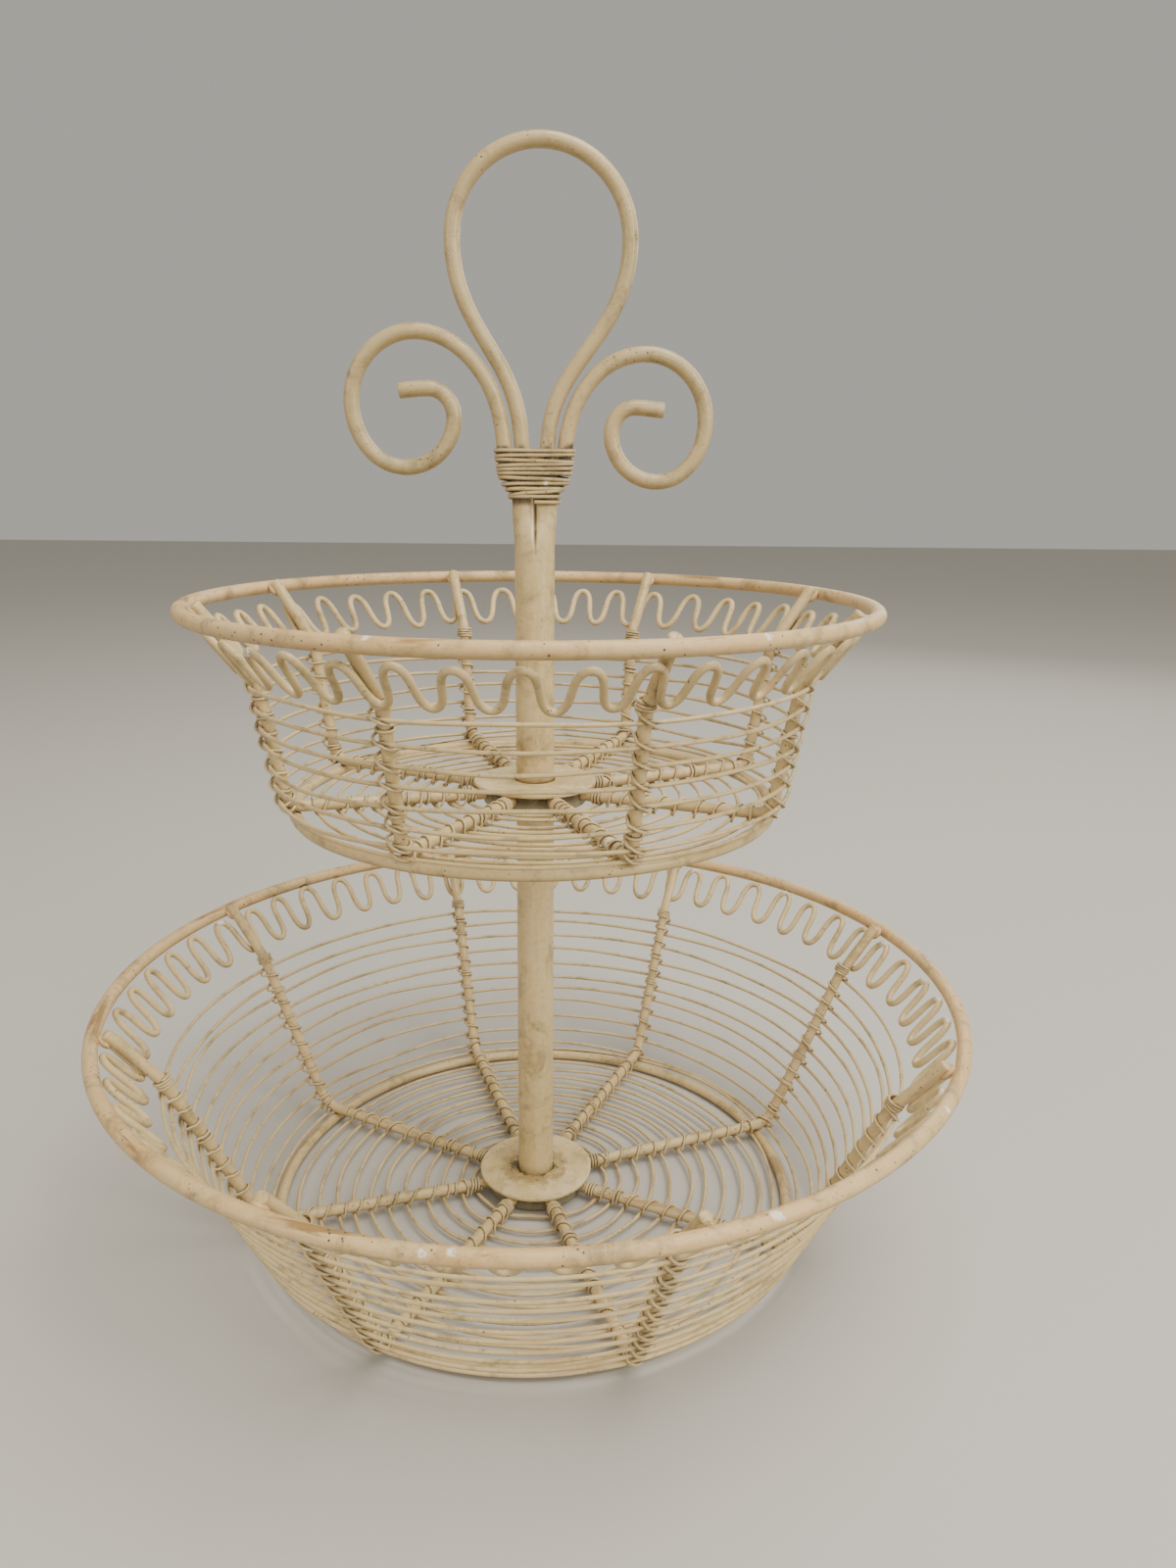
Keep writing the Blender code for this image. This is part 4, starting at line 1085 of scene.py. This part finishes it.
def painted(name, shade_and_dirt_share, chips, roughness, tone, light):
    """Satin cream paint over steel: uneven tone, streaks, painted shade and grime in corners,
    painted shade with dust on undersides, wear and chips, and a painted highlight by the tube's
    crease.
    """
    tree = Tree(name)
    along = tree.lengthwise()
    # The grey collar has no pink patches
    pink = float(tone != COLLAR_GREY)
    broad = tree.times(tree.ramp(tree.noise(26, 4, 0.6), 0.35, 0.68), pink)
    fine = tree.ramp(tree.noise(420, 5, 0.65), 0.35, 0.70)
    streak = tree.ramp(tree.noise(330, 4, 0.6, 0.0, along), 0.40, 0.66)
    colour = tree.mix(broad, tone, CREAM_PINK)
    colour = tree.mix(tree.times(fine, 0.50), colour, light)
    colour = tree.mix(tree.times(streak, 0.40), colour, light)
    smudge = tree.ramp(tree.noise(75, 6, 0.7, 0.4), 0.48, 0.70, 0.0, 0.60)
    colour = tree.mix(smudge, colour, OLIVE)
    # Painted shade with some dust: surfaces that face down are darker
    colour = tree.mix(tree.times(tree.upwards(0.1, -0.9), 0.58), colour, OLIVE)
    wear_and_highlight = tree.ramp(tree.noise(240, 5, 0.7, 0.3, along), 0.50, 0.60)
    wear_and_highlight = tree.times(wear_and_highlight, tree.ramp(tree.noise(17, 3, 0.5), 0.47, 0.57))
    wear_and_highlight = tree.times(wear_and_highlight, tree.upwards(0.30, 0.80))
    colour = tree.mix(tree.times(wear_and_highlight, chips), colour, OCHRE)
    # Painted shade and grime where the attribute marks them: olive, and near black in patches
    mark = tree.attribute("shading_and_marks")
    shading_and_marks = tree.times(tree.ramp(mark, 0.10, 0.65), shade_and_dirt_share)
    corner = tree.times(shading_and_marks, tree.ramp(tree.noise(300, 4, 0.7), 0.26, 0.60))
    colour = tree.mix(tree.times(shading_and_marks, 0.58), colour, OLIVE)
    colour = tree.mix(tree.times(corner, 0.84), colour, SHADE_AND_GRIME)
    spots = tree.ramp(tree.cells(150), 0.10, 0.055)
    rare = tree.ramp(tree.noise(34, 2, 0.5), 0.66 - 0.06 * chips, 0.70)
    specks = tree.ramp(tree.cells(420), 0.20, 0.12)
    some = tree.ramp(tree.noise(60, 3, 0.6), 0.52 - 0.08 * chips, 0.62)
    some = tree.times(some, min(1.0, 0.25 + chips))
    chip = tree.combine("ADD", tree.times(spots, rare), tree.times(specks, some))
    colour = tree.mix(chip, colour, RUST)
    torn = tree.ramp(tree.noise(620, 3, 0.7), 0.36, 0.50)
    torn = tree.combine("MAXIMUM", torn, tree.ramp(mark, -1.2, -1.6))
    # Primer where the paint is worn through, and the painted highlight beside the tube's crease
    bare_and_highlight = tree.times(tree.ramp(mark, -0.25, -0.70), torn)
    colour = tree.mix(bare_and_highlight, colour, PRIMER_AND_HIGHLIGHT)
    colour = tree.mix(tree.ramp(mark, 1.1, 1.7), colour, RED_RUST)
    shine = tree.ramp(tree.noise(120, 4, 0.6), 0.3, 0.7, roughness - 0.06, roughness + 0.10)
    rough = tree.combine("ADD", shine, tree.times(shading_and_marks, 0.25))
    lumps = tree.bump(tree.noise(190, 3, 0.5), 0.0006, 0.22)
    brushed = tree.bump(tree.noise(520, 3, 0.6, 0.0, along), 0.00022, 0.25, lumps)
    grain = tree.bump(tree.noise(1100, 3, 0.6), 0.00022, 0.30, brushed)
    return tree.finish(colour, rough, tree.bump(chip, 0.0002, -0.6, grain))


def hub_paint():
    """Cream paint worn brown where the post rubs it, with rust stains spreading from it."""
    tree = Tree("hub_paint")
    colour = tree.mix(tree.ramp(tree.noise(60, 4, 0.6), 0.35, 0.68), CREAM, CREAM_LIGHT)
    washed = tree.ramp(tree.noise(95, 5, 0.7, 0.5), 0.44, 0.66, 0.0, 0.42)
    colour = tree.mix(washed, colour, STAIN)
    edge = tree.noise(150, 5, 0.7, 0.8)
    stain = tree.times(tree.attribute("shading_and_marks"), tree.ramp(edge, 0.34, 0.62, 0.35, 1.5))
    colour = tree.mix(tree.ramp(stain, 0.06, 0.62, 0.0, 0.72), colour, STAIN)
    colour = tree.mix(tree.ramp(stain, 0.62, 1.05, 0.0, 0.85), colour, SHADE_AND_GRIME)
    flecks = tree.times(tree.ramp(tree.cells(520), 0.22, 0.12), tree.ramp(edge, 0.44, 0.58))
    colour = tree.mix(flecks, colour, RUST)
    rough = tree.ramp(tree.noise(160, 4, 0.6), 0.3, 0.7, 0.40, 0.60)
    lumps = tree.bump(tree.noise(120, 3, 0.5), 0.0007, 0.25)
    return tree.finish(colour, rough, tree.bump(tree.noise(900, 3, 0.6), 0.0002, 0.3, lumps))


def zinc():
    """Dull plated steel with darker blotches."""
    tree = Tree("zinc_plate")
    blotch = tree.ramp(tree.noise(240, 5, 0.6, 0.3), 0.35, 0.7)
    rough = tree.ramp(blotch, 0, 1, 0.35, 0.6)
    tree.feed(tree.shader, {"Metallic": 1.0})
    grain = tree.bump(tree.noise(1500, 2), 0.0001, 0.3)
    return tree.finish(tree.mix(blotch, ZINC, DULL_ZINC), rough, grain)


def carry_over(names, material):
    """Gives CAD nodes that stay their own look."""
    for name in names:
        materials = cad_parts[name].data.materials
        materials.clear()
        materials.append(material)


def make_stage():
    floor = bpy.data.meshes.new("floor")
    signs = ((-1, -1), (1, -1), (1, 1), (-1, 1))
    corners = [(x * FLOOR_HALF, y * FLOOR_HALF, 0) for x, y in signs]
    floor.from_pydata(corners, [], [(0, 1, 2, 3)])
    tree = Tree("pale_floor")
    tree.feed(tree.shader, {"Base Color": FLOOR_TONE, "Roughness": FLOOR_ROUGHNESS})
    floor.materials.append(tree.material)
    made = bpy.data.objects.new("floor", floor)
    made.location.z = -FLOOR_DROP
    bpy.context.collection.objects.link(made)


def light_scene():
    for name, (size, power, place, colour) in PANELS.items():
        data = bpy.data.lights.new(name, "AREA")
        data.shape = "RECTANGLE"
        data.size, data.size_y = size
        data.energy = power
        data.color = colour
        made = bpy.data.objects.new(name, data)
        made.location = place
        towards = Vector(LIT_PLACE) - Vector(place)
        made.rotation_euler = towards.to_track_quat("-Z", "Y").to_euler()
        bpy.context.collection.objects.link(made)
    world = bpy.data.worlds.new("studio")
    world.use_nodes = True
    glow = world.node_tree.nodes["Background"].inputs
    glow["Color"].default_value = STUDIO_TONE
    glow["Strength"].default_value = STUDIO_GLOW
    bpy.context.scene.world = world


def add_camera():
    """The photograph's camera, from the rings and rods that its picture shows."""
    data = bpy.data.cameras.new("camera")
    data.sensor_width = SENSOR
    data.lens = FOCAL_PIXELS * SENSOR / PICTURE_LONG_SIDE
    data.clip_start = NEAREST_SEEN
    camera = bpy.data.objects.new("camera", data)
    matrix = Matrix.Translation((0, -CAMERA_BACK, CAMERA_RISE))
    for angle, axis in ((CAMERA_YAW, "Z"), (math.pi / 2 - CAMERA_PITCH, "X"), (CAMERA_ROLL, "Z")):
        matrix = matrix @ Matrix.Rotation(angle, 4, axis)
    camera.matrix_world = matrix
    bpy.context.collection.objects.link(camera)
    bpy.context.scene.camera = camera


def main():
    looks = {look: painted(f"cream_{look}_paint", *paint) for look, paint in PAINTS.items()}
    looks.update(hub=hub_paint(), zinc=zinc())
    dress_basket(LOWER, looks)
    dress_basket(UPPER, looks)
    dress_post(looks)
    dress_handle(looks)
    carry_over(("lower_hub_seat", "upper_hub_seat"), looks["rod"])
    carry_over(("tube_insert", "clamp_rod", "clamp_washer", "clamp_nut"), looks["zinc"])
    make_stage()
    light_scene()
    add_camera()


main()
